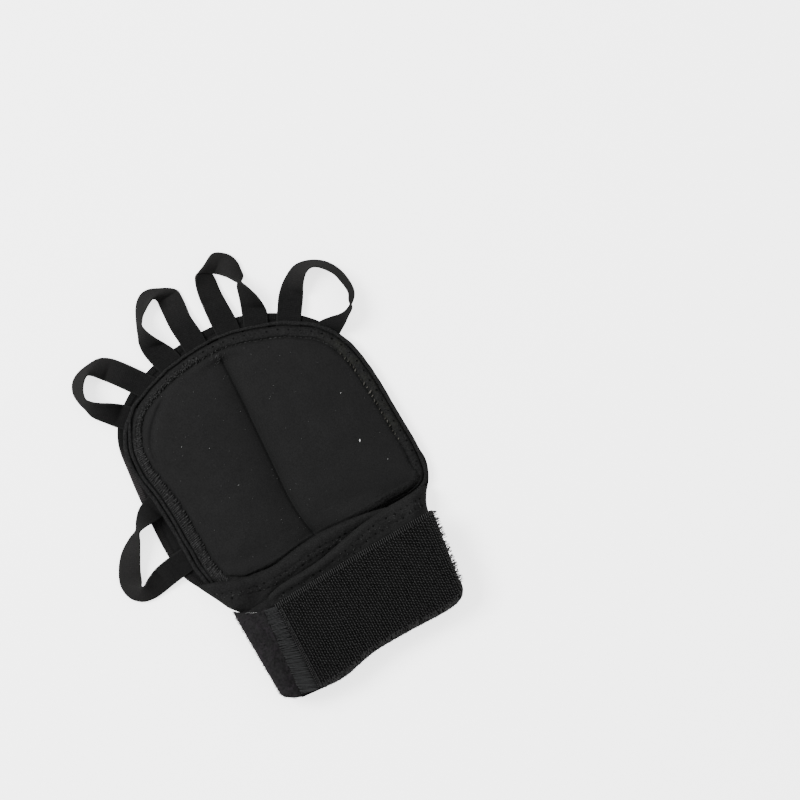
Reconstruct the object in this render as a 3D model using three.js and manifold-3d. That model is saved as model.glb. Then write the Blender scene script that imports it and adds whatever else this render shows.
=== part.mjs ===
// A weighted training glove for the left hand, lying open with the side that the hand meets
// facing up. Sizes are in millimetres. +X runs across the palm away from the thumb, +Y runs
// towards the fingers and +Z is up. The glove lies on the plane Z = 0.

import * as THREE from 'three';
import Module from 'manifold-3d';

const wasm = await Module();
wasm.setup();

// Driving dimensions
const GAP = 0.3;
const NEOPRENE = 2.0;
const ELASTIC_WIDTH = 10;
const ELASTIC_THICKNESS = 1.0;
const BAND_THICKNESS = 1.2;
const HOOK_THICKNESS = 1.4;
const PIPING_RADIUS = 1.1;
const TUNNEL_HEIGHT = 6.2;
const STRAP_SAG = 2.5;
const FOOT_GAP = 0.6;

// The cuff is lifted by the strap that runs beneath it
const CUFF_LIFT = BAND_THICKNESS + GAP;
const CUFF_STEP = { from: -39, to: -44.8 };
const CUFF_END = -66;
const SAG_START = -66;
const SAG_END = -90;

// Heights of the middle of each layer over the wrist
const PANEL_TOP = NEOPRENE;
const CUFF_FLOOR = CUFF_LIFT + NEOPRENE;
const THUMB_FLAP_Z = CUFF_FLOOR + TUNNEL_HEIGHT + NEOPRENE / 2;
const OUTER_FLAP_Z = THUMB_FLAP_Z + NEOPRENE + GAP;
const HOOK_TAPE_Z = OUTER_FLAP_Z + NEOPRENE / 2 + GAP + HOOK_THICKNESS / 2;
const BAND_FRONT_Z = THUMB_FLAP_Z + NEOPRENE / 2 + GAP + BAND_THICKNESS / 2;
const BAND_SEAM_Z = HOOK_TAPE_Z - HOOK_THICKNESS / 2 - GAP - BAND_THICKNESS / 2;

// The pad: a pouch of two lobes with a sewn groove between them and a flat sewn border
const PAD = {
  edgeHeight: 2.4,
  borderHeight: 4.0,
  borderWidth: 5,
  crownHeight: 8.4,
  rollWidth: 20,
  grooveDepth: 3.0,
  grooveWidth: 3.2,
};

// Outline of the neoprene back panel, from the wrist end to the fingers
const PANEL_SECTIONS = [
  { y: -66.0, left: -32.6, right: 52.4 },
  { y: -58.0, left: -32.7, right: 53.2 },
  { y: -48.5, left: -32.9, right: 54.0 },
  { y: -44.6, left: -34.2, right: 55.2 },
  { y: -42.4, left: -38.0, right: 56.4 },
  { y: -36.5, left: -41.4, right: 61.2 },
  { y: -29.0, left: -45.3, right: 64.1 },
  { y: -21.0, left: -49.0, right: 63.7 },
  { y: -11.0, left: -50.2, right: 63.6 },
  { y: 10.0, left: -49.2, right: 63.5 },
  { y: 28.0, left: -47.2, right: 61.4 },
  { y: 41.0, left: -44.9, right: 56.0 },
  { y: 49.4, left: -39.9, right: 49.1 },
  { y: 57.2, left: -30.0, right: 37.6 },
  { y: 62.4, left: -15.5, right: 25.5 },
  { y: 64.4, left: -1.0, right: 12.0 },
];

// Middle line of the piping round the pad, from the wrist end to the fingers
const SEAM_SECTIONS = [
  { y: -37.6, left: -20.0, right: 30.0 },
  { y: -37.2, left: -30.0, right: 46.0 },
  { y: -35.6, left: -35.6, right: 56.0 },
  { y: -31.4, left: -39.2, right: 60.7 },
  { y: -24.0, left: -41.2, right: 62.3 },
  { y: -10.0, left: -41.5, right: 62.3 },
  { y: 10.0, left: -41.8, right: 62.1 },
  { y: 25.0, left: -43.4, right: 60.6 },
  { y: 36.0, left: -42.2, right: 56.4 },
  { y: 45.8, left: -36.8, right: 47.9 },
  { y: 52.8, left: -29.2, right: 37.2 },
  { y: 57.9, left: -16.0, right: 24.5 },
  { y: 60.2, left: -1.0, right: 13.0 },
];

// Middle line of the groove between the lobes
const GROOVE_SECTIONS = [
  { y: -40, x: 9.6 },
  { y: -27, x: 7.0 },
  { y: -16, x: 6.4 },
  { y: 5, x: 7.9 },
  { y: 30, x: 9.8 },
  { y: 50, x: 10.8 },
  { y: 62, x: 10.8 },
];

// Elastic loops. Each row is a section of the tape, counted against the clock round its
// finger. Tilt is 0 where the outer face lies up, 90 where the tape stands on edge and 180
// where the inner face lies up.
const LOOPS = {
  finger_loop_index: [
    { x: -19.6, y: 52.0, tilt: 0 },
    { x: -24.6, y: 59.2, tilt: 0 },
    { x: -30.3, y: 67.3, tilt: 0 },
    { x: -36.3, y: 73.0, tilt: 42 },
    { x: -41.6, y: 74.3, tilt: 72 },
    { x: -45.8, y: 72.4, tilt: 116 },
    { x: -47.9, y: 68.6, tilt: 113 },
    { x: -48.6, y: 63.9, tilt: 90 },
    { x: -45.7, y: 58.3, tilt: 52 },
    { x: -42.0, y: 54.6, tilt: 30 },
    { x: -38.0, y: 50.9, tilt: 4 },
    { x: -32.7, y: 45.2, tilt: 0 },
  ],
  finger_loop_middle: [
    { x: 3.6, y: 55.6, tilt: 0 },
    { x: 3.8, y: 64.3, tilt: 0 },
    { x: 3.2, y: 72.0, tilt: 0 },
    { x: 3.7, y: 79.0, tilt: 5 },
    { x: 3.9, y: 84.0, tilt: 24 },
    { x: 1.8, y: 88.0, tilt: 62 },
    { x: -2.4, y: 89.4, tilt: 98 },
    { x: -6.6, y: 87.2, tilt: 121 },
    { x: -10.3, y: 83.3, tilt: 108 },
    { x: -12.1, y: 79.5, tilt: 88 },
    { x: -13.4, y: 75.0, tilt: 60 },
    { x: -12.7, y: 70.9, tilt: 42 },
    { x: -11.4, y: 66.9, tilt: 16 },
    { x: -10.2, y: 63.0, tilt: 0 },
    { x: -7.8, y: 55.0, tilt: 0 },
  ],
  finger_loop_ring: [
    { x: 28.4, y: 51.6, tilt: 180 },
    { x: 32.0, y: 59.4, tilt: 176 },
    { x: 32.9, y: 66.0, tilt: 138 },
    { x: 33.3, y: 71.0, tilt: 118 },
    { x: 34.4, y: 75.6, tilt: 86 },
    { x: 34.0, y: 80.4, tilt: 42 },
    { x: 30.9, y: 84.4, tilt: 22 },
    { x: 26.8, y: 86.4, tilt: 44 },
    { x: 22.6, y: 86.6, tilt: 78 },
    { x: 19.6, y: 84.0, tilt: 118 },
    { x: 19.9, y: 78.6, tilt: 156 },
    { x: 19.6, y: 71.0, tilt: 166 },
    { x: 19.3, y: 64.0, tilt: 178 },
    { x: 18.6, y: 54.8, tilt: 180 },
  ],
  finger_loop_little: [
    { x: 50.6, y: 35.4, tilt: 0 },
    { x: 56.8, y: 39.4, tilt: 14 },
    { x: 61.2, y: 40.0, tilt: 54 },
    { x: 65.4, y: 40.7, tilt: 70 },
    { x: 69.6, y: 43.4, tilt: 86 },
    { x: 72.1, y: 48.4, tilt: 84 },
    { x: 72.4, y: 53.6, tilt: 80 },
    { x: 70.9, y: 58.6, tilt: 76 },
    { x: 67.4, y: 63.6, tilt: 74 },
    { x: 62.8, y: 66.3, tilt: 72 },
    { x: 58.3, y: 66.5, tilt: 56 },
    { x: 54.0, y: 63.9, tilt: 34 },
    { x: 49.6, y: 59.2, tilt: 16 },
    { x: 44.9, y: 52.8, tilt: 0 },
    { x: 40.0, y: 46.0, tilt: 0 },
  ],
  thumb_loop: [
    { x: -38.4, y: 11.4, tilt: 180 },
    { x: -44.6, y: 10.5, tilt: 178 },
    { x: -49.4, y: 9.1, tilt: 146 },
    { x: -53.2, y: 7.2, tilt: 114 },
    { x: -55.9, y: 5.2, tilt: 88 },
    { x: -58.9, y: 2.5, tilt: 62 },
    { x: -63.4, y: -2.0, tilt: 37 },
    { x: -67.2, y: -7.4, tilt: 22 },
    { x: -69.4, y: -12.8, tilt: 30 },
    { x: -69.4, y: -17.2, tilt: 70 },
    { x: -66.6, y: -19.2, tilt: 112 },
    { x: -62.0, y: -18.4, tilt: 152 },
    { x: -56.2, y: -17.0, tilt: 166 },
    { x: -49.8, y: -16.0, tilt: 178 },
    { x: -38.4, y: -14.8, tilt: 180 },
  ],
};

// Length of tape that stays at the height of the panel, then the length in which it comes down
const LOOP_LEVEL_LENGTH = 12;
const LOOP_DROP_LENGTH = 14;
const LOOP_REST_HEIGHT = 0.2;
const LOOP_STATIONS = 40;

// Each flap rises from the panel at its fold, turns over and runs to its free end. Edge is
// the place of its hem, end is the place of its wrist edge, and low is how far it dips there.
const THUMB_FLAP = {
  height: THUMB_FLAP_Z,
  foldRadius: 6,
  freeEnd: 43,
  fold: [
    { y: -27.0, x: -46.2 },
    { y: -36.5, x: -41.4 },
    { y: -41.5, x: -38.8 },
    { y: -44.4, x: -35.6 },
    { y: -47.0, x: -34.8 },
    { y: -66.0, x: -34.4 },
  ],
  hem: [
    { x: -46.2, edge: -27.0, end: -65, low: 2.6 },
    { x: -38.0, edge: -29.7, end: -65, low: 2.0 },
    { x: -31.8, edge: -31.8, end: -65, low: 1.6 },
    { x: -21.6, edge: -34.6, end: -65, low: 1.2 },
    { x: -12.0, edge: -34.9, end: -65, low: 1.2 },
    { x: -3.0, edge: -33.7, end: -65, low: 1.2 },
    { x: 10.5, edge: -33.1, end: -65, low: 1.2 },
    { x: 26.0, edge: -34.2, end: -65, low: 1.2 },
    { x: 39.0, edge: -37.6, end: -65, low: 0.6 },
    { x: 43.0, edge: -39.6, end: -65, low: 0.4 },
  ],
};
const OUTER_FLAP = {
  height: OUTER_FLAP_Z,
  foldRadius: 7,
  freeEnd: -22.8,
  fold: [
    { y: -38.4, x: 59.2 },
    { y: -43.6, x: 55.8 },
    { y: -48.0, x: 54.2 },
    { y: -66.0, x: 52.8 },
  ],
  hem: [
    { x: -22.8, edge: -46.9, end: -49.6, low: 0 },
    { x: -21.2, edge: -45.7, end: -52.5, low: 0 },
    { x: -16.0, edge: -44.4, end: -58, low: 0 },
    { x: -5.6, edge: -44.0, end: -64, low: 0 },
    { x: 4.3, edge: -43.4, end: -65, low: 0 },
    { x: 19.5, edge: -40.5, end: -65, low: 0 },
    { x: 29.3, edge: -38.9, end: -65, low: 0 },
    { x: 48.0, edge: -38.4, end: -65, low: 0.4 },
    { x: 59.2, edge: -38.4, end: -65, low: 0.8 },
  ],
};
const HEM_DIP_LENGTH = 9;

// The wrist band, from its sewn end behind the cuff, round the fold and over the front.
// Level is 0 on the ground run and 1 on the front run.
const BAND_SECTIONS = [
  { x: 47.0, level: 0, top: -48.8, bottom: -87.4 },
  { x: 10.0, level: 0, top: -48.4, bottom: -87.6 },
  { x: -24.0, level: 0, top: -48.2, bottom: -87.4 },
  { x: -33.8, level: 0, top: -47.0, bottom: -86.4 },
  { x: -36.1, level: 0.11, top: -46.3, bottom: -85.0 },
  { x: -36.8, level: 0.5, top: -45.6, bottom: -84.0 },
  { x: -35.8, level: 0.88, top: -46.3, bottom: -86.0 },
  { x: -32.8, level: 1, top: -47.7, bottom: -88.4 },
  { x: -30.0, level: 1, top: -48.8, bottom: -89.4 },
  { x: -24.2, level: 1, top: -49.9, bottom: -89.6 },
];
const BAND_SEAM_START = -31.4;
const BAND_SEAM_END = -24.2;

// The hook tape, from its sewn end over the band to its cut end
const HOOK_SECTIONS = [
  { topX: -26.6, topY: -50.9, bottomX: -30.8, bottomY: -89.5 },
  { topX: -18.0, topY: -50.7, bottomX: -22.0, bottomY: -90.4 },
  { topX: -8.0, topY: -50.5, bottomX: -11.6, bottomY: -91.0 },
  { topX: 8.0, topY: -50.0, bottomX: 5.0, bottomY: -87.9 },
  { topX: 26.0, topY: -49.4, bottomX: 22.0, bottomY: -87.5 },
  { topX: 44.0, topY: -48.9, bottomX: 39.0, bottomY: -88.2 },
  { topX: 51.5, topY: -48.9, bottomX: 45.6, bottomY: -87.7 },
  { topX: 54.6, topY: -48.9, bottomX: 49.2, bottomY: -85.6 },
  { topX: 55.8, topY: -49.4, bottomX: 50.6, bottomY: -81.5 },
];

// Surface finishes
const BLACK = {
  neoprene: { color: 0x1c1c1d, roughness: 0.88 },
  padKnit: { color: 0x171618, roughness: 0.82 },
  piping: { color: 0x1a1a1b, roughness: 0.8 },
  elastic: { color: 0x202022, roughness: 0.75 },
  loopPile: { color: 0x1b1a1d, roughness: 0.95 },
  hooks: { color: 0x161617, roughness: 0.6 },
};

// Eases from 0 to 1 as value goes from 0 to 1
function smooth(value) {
  const t = Math.min(1, Math.max(0, value));
  return t * t * (3 - 2 * t);
}

// Reads a column of a table at a place between its rows
function lookUp(rows, along, column, place) {
  const sorted = rows[0][along] < rows[rows.length - 1][along] ? rows : [...rows].reverse();
  const curve = new THREE.CatmullRomCurve3(
    sorted.map((row) => new THREE.Vector3(row[along], row[column], 0)),
    false,
    'centripetal',
  );
  const wanted = Math.min(sorted[sorted.length - 1][along], Math.max(sorted[0][along], place));
  let low = 0;
  let high = 1;
  for (let step = 0; step < 24; step += 1) {
    const middle = (low + high) / 2;
    if (curve.getPoint(middle).x < wanted) low = middle;
    else high = middle;
  }
  return curve.getPoint((low + high) / 2).y;
}

// Closed outline through a table of sections, counted against the clock
function outlineOf(sections, count) {
  const right = sections.map((row) => new THREE.Vector3(row.right, row.y, 0));
  const left = sections.map((row) => new THREE.Vector3(row.left, row.y, 0)).reverse();
  const curve = new THREE.CatmullRomCurve3([...right, ...left], true, 'centripetal');
  return curve.getSpacedPoints(count).slice(0, count);
}

// Unit normals that point into a closed outline
function inwardNormals(outline) {
  return outline.map((point, i) => {
    const before = outline[(i + outline.length - 1) % outline.length];
    const after = outline[(i + 1) % outline.length];
    const along = new THREE.Vector3().subVectors(after, before).normalize();
    return new THREE.Vector3(-along.y, along.x, 0);
  });
}

// The outline moved inwards
function inset(outline, distance) {
  const normals = inwardNormals(outline);
  return outline.map((point, i) => point.clone().addScaledVector(normals[i], distance));
}

// Leftmost and rightmost place of an outline at one Y
function chord(outline, y) {
  const found = [];
  outline.forEach((a, i) => {
    const b = outline[(i + 1) % outline.length];
    if ((a.y - y) * (b.y - y) <= 0 && a.y !== b.y) {
      found.push(a.x + ((b.x - a.x) * (y - a.y)) / (b.y - a.y));
    }
  });
  return { left: Math.min(...found), right: Math.max(...found) };
}

// Distance from a point to an outline
function distanceTo(outline, x, y) {
  let least = Infinity;
  outline.forEach((a, i) => {
    const b = outline[(i + 1) % outline.length];
    const span = { x: b.x - a.x, y: b.y - a.y };
    const share = ((x - a.x) * span.x + (y - a.y) * span.y) / (span.x ** 2 + span.y ** 2);
    const t = Math.min(1, Math.max(0, share));
    least = Math.min(least, Math.hypot(a.x + span.x * t - x, a.y + span.y * t - y));
  });
  return least;
}

// A row's Y, with rows drawn closer together towards both ends of an outline
function rowPlace(outline, v) {
  const ys = outline.map((point) => point.y);
  const low = Math.min(...ys) + 0.12;
  const high = Math.max(...ys) - 0.12;
  return (low + high) / 2 - ((high - low) / 2) * Math.cos(Math.PI * v);
}

// Turns vertices and faces into a geometry whose faces point out
function closedGeometry(vertices, faces) {
  let volume = 0;
  faces.forEach(([a, b, c]) => {
    volume += vertices[a].dot(new THREE.Vector3().crossVectors(vertices[b], vertices[c]));
  });
  const indices = faces.flatMap(([a, b, c]) => (volume > 0 ? [a, b, c] : [a, c, b]));
  const geometry = new THREE.BufferGeometry();
  const positions = vertices.flatMap((vertex) => [vertex.x, vertex.y, vertex.z]);
  geometry.setAttribute('position', new THREE.Float32BufferAttribute(positions, 3));
  geometry.setIndex(indices);
  return geometry;
}

// A closed solid between an upper and a lower surface that share one grid
function slabGeometry(columns, rows, upperAt, lowerAt) {
  const width = columns + 1;
  const layer = width * (rows + 1);
  const vertices = [];
  [upperAt, lowerAt].forEach((surfaceAt) => {
    for (let r = 0; r <= rows; r += 1) {
      for (let c = 0; c <= columns; c += 1) vertices.push(surfaceAt(c, r));
    }
  });
  const faces = [];
  const quad = (a, b, c, d) => faces.push([a, b, c], [a, c, d]);
  for (let r = 0; r < rows; r += 1) {
    for (let c = 0; c < columns; c += 1) {
      const a = r * width + c;
      quad(a, a + 1, a + 1 + width, a + width);
      quad(layer + a, layer + a + width, layer + a + 1 + width, layer + a + 1);
    }
  }
  for (let c = 0; c < columns; c += 1) {
    const last = rows * width + c;
    quad(c, c + layer, c + 1 + layer, c + 1);
    quad(last, last + 1, last + 1 + layer, last + layer);
  }
  for (let r = 0; r < rows; r += 1) {
    const first = r * width;
    const last = first + columns;
    quad(first, first + width, first + width + layer, first + layer);
    quad(last, last + layer, last + width + layer, last + width);
  }
  return closedGeometry(vertices, faces);
}

// A sheet of cloth: a grid of middle points, thickened on both sides
function sheetGeometry(columns, rows, middleAt, thickness) {
  const grid = [];
  for (let r = 0; r <= rows; r += 1) {
    grid.push([]);
    for (let c = 0; c <= columns; c += 1) grid[r].push(middleAt(c / columns, r / rows));
  }
  const normalAt = (c, r) => {
    const across = new THREE.Vector3().subVectors(
      grid[r][Math.min(columns, c + 1)],
      grid[r][Math.max(0, c - 1)],
    );
    const along = new THREE.Vector3().subVectors(
      grid[Math.min(rows, r + 1)][c],
      grid[Math.max(0, r - 1)][c],
    );
    return across.cross(along).normalize();
  };
  const shifted = (side) => (c, r) =>
    grid[r][c].clone().addScaledVector(normalAt(c, r), (side * thickness) / 2);
  return slabGeometry(columns, rows, shifted(1), shifted(-1));
}

function toManifold(geometry) {
  return new wasm.Manifold(
    new wasm.Mesh({
      numProp: 3,
      vertProperties: new Float32Array(geometry.attributes.position.array),
      triVerts: new Uint32Array(geometry.index.array),
    }),
  );
}

function fromManifold(solid) {
  const mesh = solid.getMesh();
  const geometry = new THREE.BufferGeometry();
  geometry.setAttribute('position', new THREE.BufferAttribute(mesh.vertProperties, 3));
  geometry.setIndex(new THREE.BufferAttribute(mesh.triVerts, 1));
  return geometry;
}

function piece(name, geometry, finish) {
  const material = new THREE.MeshStandardMaterial({ ...finish, metalness: 0 });
  geometry.computeVertexNormals();
  const mesh = new THREE.Mesh(geometry, material);
  mesh.name = name;
  return mesh;
}

// Height of the back panel's underside: flat under the hand, lifted over the strap
function panelUnderside(y) {
  return CUFF_LIFT * smooth((y - CUFF_STEP.from) / (CUFF_STEP.to - CUFF_STEP.from));
}

function backPanel() {
  const outline = outlineOf(PANEL_SECTIONS, 160);
  const columns = 4;
  const rows = 44;
  const surface = (height) => (c, r) => {
    const y = rowPlace(outline, r / rows);
    const { left, right } = chord(outline, y);
    const x = left + ((right - left) * c) / columns;
    return new THREE.Vector3(x, y, panelUnderside(y) + height);
  };
  return slabGeometry(columns, rows, surface(NEOPRENE), surface(0));
}

// Height of the pad's upper face over its own base
function padHeight(outline, x, y) {
  const inside = distanceTo(outline, x, y);
  const border = smooth(inside / PAD.borderWidth);
  const roll = Math.min(1, Math.max(0, (inside - PAD.borderWidth) / PAD.rollWidth));
  const crown = Math.sin((Math.PI / 2) * roll);
  const beside = (x - lookUp(GROOVE_SECTIONS, 'y', 'x', y)) / PAD.grooveWidth;
  const groove = PAD.grooveDepth * Math.exp(-beside * beside) * crown;
  const rise = (PAD.borderHeight - PAD.edgeHeight) * border;
  return PAD.edgeHeight + rise + (PAD.crownHeight - PAD.borderHeight) * crown - groove;
}

function weightPad(seam) {
  const outline = inset(seam, PIPING_RADIUS + GAP);
  const half = 10;
  const rows = 22;
  const base = PANEL_TOP + GAP;
  const placeOf = (c, r) => {
    const y = rowPlace(outline, r / rows);
    const { left, right } = chord(outline, y);
    const middle = Math.min(right - 1, Math.max(left + 1, lookUp(GROOVE_SECTIONS, 'y', 'x', y)));
    const away = Math.abs(c - half) / half;
    const share = 0.35 * away + 0.65 * away * away;
    const side = c < half ? left : right;
    return { x: middle + (side - middle) * share, y };
  };
  const upper = (c, r) => {
    const { x, y } = placeOf(c, r);
    const onEdge = c === 0 || c === 2 * half || r === 0 || r === rows;
    const height = onEdge ? PAD.edgeHeight : padHeight(outline, x, y);
    return new THREE.Vector3(x, y, base + height);
  };
  const lower = (c, r) => {
    const { x, y } = placeOf(c, r);
    return new THREE.Vector3(x, y, base);
  };
  return notched(slabGeometry(2 * half, rows, upper, lower));
}

// A tape that follows a loop's rows. Extra widens it and thickens it, for the notch it sews into
function loopGeometry(rows, stations, extra) {
  const curve = new THREE.CatmullRomCurve3(
    rows.map((row) => new THREE.Vector3(row.x, row.y, 0)),
    false,
    'centripetal',
  );
  const tilts = new THREE.CatmullRomCurve3(
    rows.map((row, i) => new THREE.Vector3(i, row.tilt, 0)),
    false,
    'centripetal',
  );
  const length = curve.getLength();
  const middleAt = (u, v) => {
    const run = v * (length + 2 * extra) - extra;
    const inside = Math.min(length, Math.max(0, run));
    const share = curve.getUtoTmapping(inside / length);
    const along = curve.getTangent(share);
    const point = curve.getPoint(share).addScaledVector(along, run - inside);
    const tilt = THREE.MathUtils.degToRad(tilts.getPoint(share).y);
    const inward = new THREE.Vector3(-along.y, along.x, 0).normalize();
    const across = inward.multiplyScalar(Math.cos(tilt)).setZ(Math.sin(tilt));
    const toEnd = Math.min(inside, length - inside);
    const drop = smooth((toEnd - LOOP_LEVEL_LENGTH) / LOOP_DROP_LENGTH);
    const lowest = THREE.MathUtils.lerp(PANEL_TOP + GAP, LOOP_REST_HEIGHT, drop);
    const halfWidth = ELASTIC_WIDTH / 2;
    const rise = halfWidth * Math.abs(Math.sin(tilt));
    point.z = lowest + rise + (ELASTIC_THICKNESS / 2) * Math.abs(Math.cos(tilt));
    return point.addScaledVector(across, (u * 2 - 1) * (halfWidth + extra));
  };
  return sheetGeometry(2, stations, middleAt, ELASTIC_THICKNESS + 2 * extra);
}

// Cuts a body away where the ends of the tapes pass under it
function notched(geometry) {
  let body = toManifold(geometry);
  Object.values(LOOPS).forEach((rows) => {
    body = body.subtract(toManifold(loopGeometry(rows, LOOP_STATIONS, GAP)));
  });
  return fromManifold(body);
}

// The piping: a round cord along the seam
function edgePiping(seam) {
  const sides = 8;
  const normals = inwardNormals(seam);
  const vertices = [];
  const faces = [];
  seam.forEach((point, i) => {
    for (let s = 0; s < sides; s += 1) {
      const angle = (2 * Math.PI * (s + 0.5)) / sides;
      const out = point.clone().addScaledVector(normals[i], PIPING_RADIUS * Math.cos(angle));
      out.z = PANEL_TOP + GAP + PIPING_RADIUS * (1 + Math.sin(angle));
      vertices.push(out);
    }
  });
  for (let i = 0; i < seam.length; i += 1) {
    const next = (i + 1) % seam.length;
    for (let s = 0; s < sides; s += 1) {
      const turn = (s + 1) % sides;
      const [a, b] = [i * sides + s, i * sides + turn];
      const [c, d] = [next * sides + turn, next * sides + s];
      faces.push([a, b, c], [a, c, d]);
    }
  }
  return notched(closedGeometry(vertices, faces));
}

// A cuff flap. Its side is -1 where it folds on the thumb side and +1 on the outer side
function cuffFlap(flap, side) {
  const foldShare = 0.28;
  const middleAt = (u, v) => {
    const overFold = Math.max(0, (u - foldShare) / (1 - foldShare));
    const angle = (Math.PI / 2) * Math.min(1, u / foldShare);
    let y = THREE.MathUtils.lerp(flap.hem[0].edge, CUFF_END, v);
    let x = 0;
    let hem = 0;
    for (let pass = 0; pass < 4; pass += 1) {
      const contour = lookUp(flap.fold, 'y', 'x', y) - (side * NEOPRENE) / 2;
      const turned = contour - side * flap.foldRadius * (1 - Math.cos(angle));
      x = THREE.MathUtils.lerp(turned, flap.freeEnd, overFold);
      hem = lookUp(flap.hem, 'x', 'edge', x);
      y = THREE.MathUtils.lerp(hem, lookUp(flap.hem, 'x', 'end', x), v);
    }
    const foot = panelUnderside(y) + NEOPRENE + FOOT_GAP;
    const dip = lookUp(flap.hem, 'x', 'low', x) * (1 - smooth((hem - y) / HEM_DIP_LENGTH));
    const z = THREE.MathUtils.lerp(foot, flap.height - dip, Math.sin(angle));
    return new THREE.Vector3(x, y, z);
  };
  return sheetGeometry(28, 10, middleAt, NEOPRENE);
}

// How far the strap's front run sags past the end of the cuff
function strapSag(y) {
  return STRAP_SAG * smooth((SAG_START - y) / (SAG_START - SAG_END));
}

function wristBand() {
  const columnCurve = (column) =>
    new THREE.CatmullRomCurve3(
      BAND_SECTIONS.map((row) => new THREE.Vector3(row.x, row.level * 8, row[column])),
      false,
      'centripetal',
    );
  const top = columnCurve('top');
  const bottom = columnCurve('bottom');
  const middleAt = (u, v) => {
    const at = top.getPoint(v);
    const y = THREE.MathUtils.lerp(at.z, bottom.getPoint(v).z, u);
    const level = Math.max(0, at.y / 8);
    const toSeam = smooth((at.x - BAND_SEAM_START) / (BAND_SEAM_END - BAND_SEAM_START));
    const front = THREE.MathUtils.lerp(BAND_FRONT_Z, BAND_SEAM_Z, v > 0.6 ? toSeam : 0);
    const z = THREE.MathUtils.lerp(BAND_THICKNESS / 2, front - strapSag(y), level);
    return new THREE.Vector3(at.x, y, z);
  };
  return sheetGeometry(6, 40, middleAt, BAND_THICKNESS);
}

function hookTape() {
  const edge = (x, y) =>
    new THREE.CatmullRomCurve3(
      HOOK_SECTIONS.map((row) => new THREE.Vector3(row[x], row[y], 0)),
      false,
      'centripetal',
    );
  const top = edge('topX', 'topY');
  const bottom = edge('bottomX', 'bottomY');
  const middleAt = (u, v) => {
    const point = top.getPoint(v).lerp(bottom.getPoint(v), u);
    point.z = HOOK_TAPE_Z - strapSag(point.y);
    return point;
  };
  return sheetGeometry(6, 22, middleAt, HOOK_THICKNESS);
}

const seam = outlineOf(SEAM_SECTIONS, 88);
const glove = new THREE.Group();
glove.add(
  piece('back_panel', backPanel(), BLACK.neoprene),
  piece('weight_pad', weightPad(seam), BLACK.padKnit),
  piece('edge_piping', edgePiping(seam), BLACK.piping),
  piece('cuff_flap_thumb', cuffFlap(THUMB_FLAP, -1), BLACK.neoprene),
  piece('cuff_flap_outer', cuffFlap(OUTER_FLAP, 1), BLACK.neoprene),
  piece('wrist_band', wristBand(), BLACK.loopPile),
  piece('hook_tape', hookTape(), BLACK.hooks),
);
Object.entries(LOOPS).forEach(([name, rows]) => {
  glove.add(piece(name, loopGeometry(rows, LOOP_STATIONS, 0), BLACK.elastic));
});

// The origin lies on the ground, under the middle of the whole glove
const extent = new THREE.Box3().setFromObject(glove);
const middle = extent.getCenter(new THREE.Vector3());
glove.position.set(-middle.x, -middle.y, -extent.min.z);

export default glove;
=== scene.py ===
"""A weighted training glove for the left hand, lying open on a pale floor.

The glove lies with the side that the hand meets facing up. Lengths in the classes are in
millimetres, in the part's own frame: +X across the palm away from the thumb, +Y towards the
fingers and +Z up. They become metres when a mesh is filled in.
"""

from __future__ import annotations

import logging
import math
from contextlib import contextmanager
from dataclasses import dataclass
from enum import Enum
from functools import cached_property
from typing import Any, Callable, Iterator, NamedTuple, Sequence

import bpy
import numpy as np
from mathutils import Matrix, Vector
from mathutils.bvhtree import BVHTree
from mathutils.kdtree import KDTree


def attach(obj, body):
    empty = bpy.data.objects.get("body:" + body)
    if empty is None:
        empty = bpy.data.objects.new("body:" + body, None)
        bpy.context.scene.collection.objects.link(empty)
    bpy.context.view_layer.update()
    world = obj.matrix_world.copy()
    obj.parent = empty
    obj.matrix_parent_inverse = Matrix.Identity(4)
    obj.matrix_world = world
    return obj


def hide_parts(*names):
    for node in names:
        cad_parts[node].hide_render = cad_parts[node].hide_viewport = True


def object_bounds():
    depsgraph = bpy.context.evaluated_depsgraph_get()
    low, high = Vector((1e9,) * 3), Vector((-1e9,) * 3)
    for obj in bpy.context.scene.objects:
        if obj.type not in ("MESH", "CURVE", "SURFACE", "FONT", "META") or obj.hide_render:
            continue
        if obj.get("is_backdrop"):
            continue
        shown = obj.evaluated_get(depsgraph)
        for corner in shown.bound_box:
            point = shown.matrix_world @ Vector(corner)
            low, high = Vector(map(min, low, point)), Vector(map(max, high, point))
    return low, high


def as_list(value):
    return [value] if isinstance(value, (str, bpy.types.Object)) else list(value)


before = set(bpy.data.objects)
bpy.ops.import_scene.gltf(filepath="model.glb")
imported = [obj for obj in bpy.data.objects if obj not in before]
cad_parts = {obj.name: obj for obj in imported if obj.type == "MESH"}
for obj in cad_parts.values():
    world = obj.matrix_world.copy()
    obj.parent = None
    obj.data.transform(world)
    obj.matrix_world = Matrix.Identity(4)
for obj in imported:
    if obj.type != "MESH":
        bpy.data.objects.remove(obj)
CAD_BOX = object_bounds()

log = logging.getLogger("glove")

Array = np.ndarray
Colour = tuple[float, float, float]
Pair = tuple[float, float]
Piece = bpy.types.Object
Socket = bpy.types.NodeSocket
Material = bpy.types.Material

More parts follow.
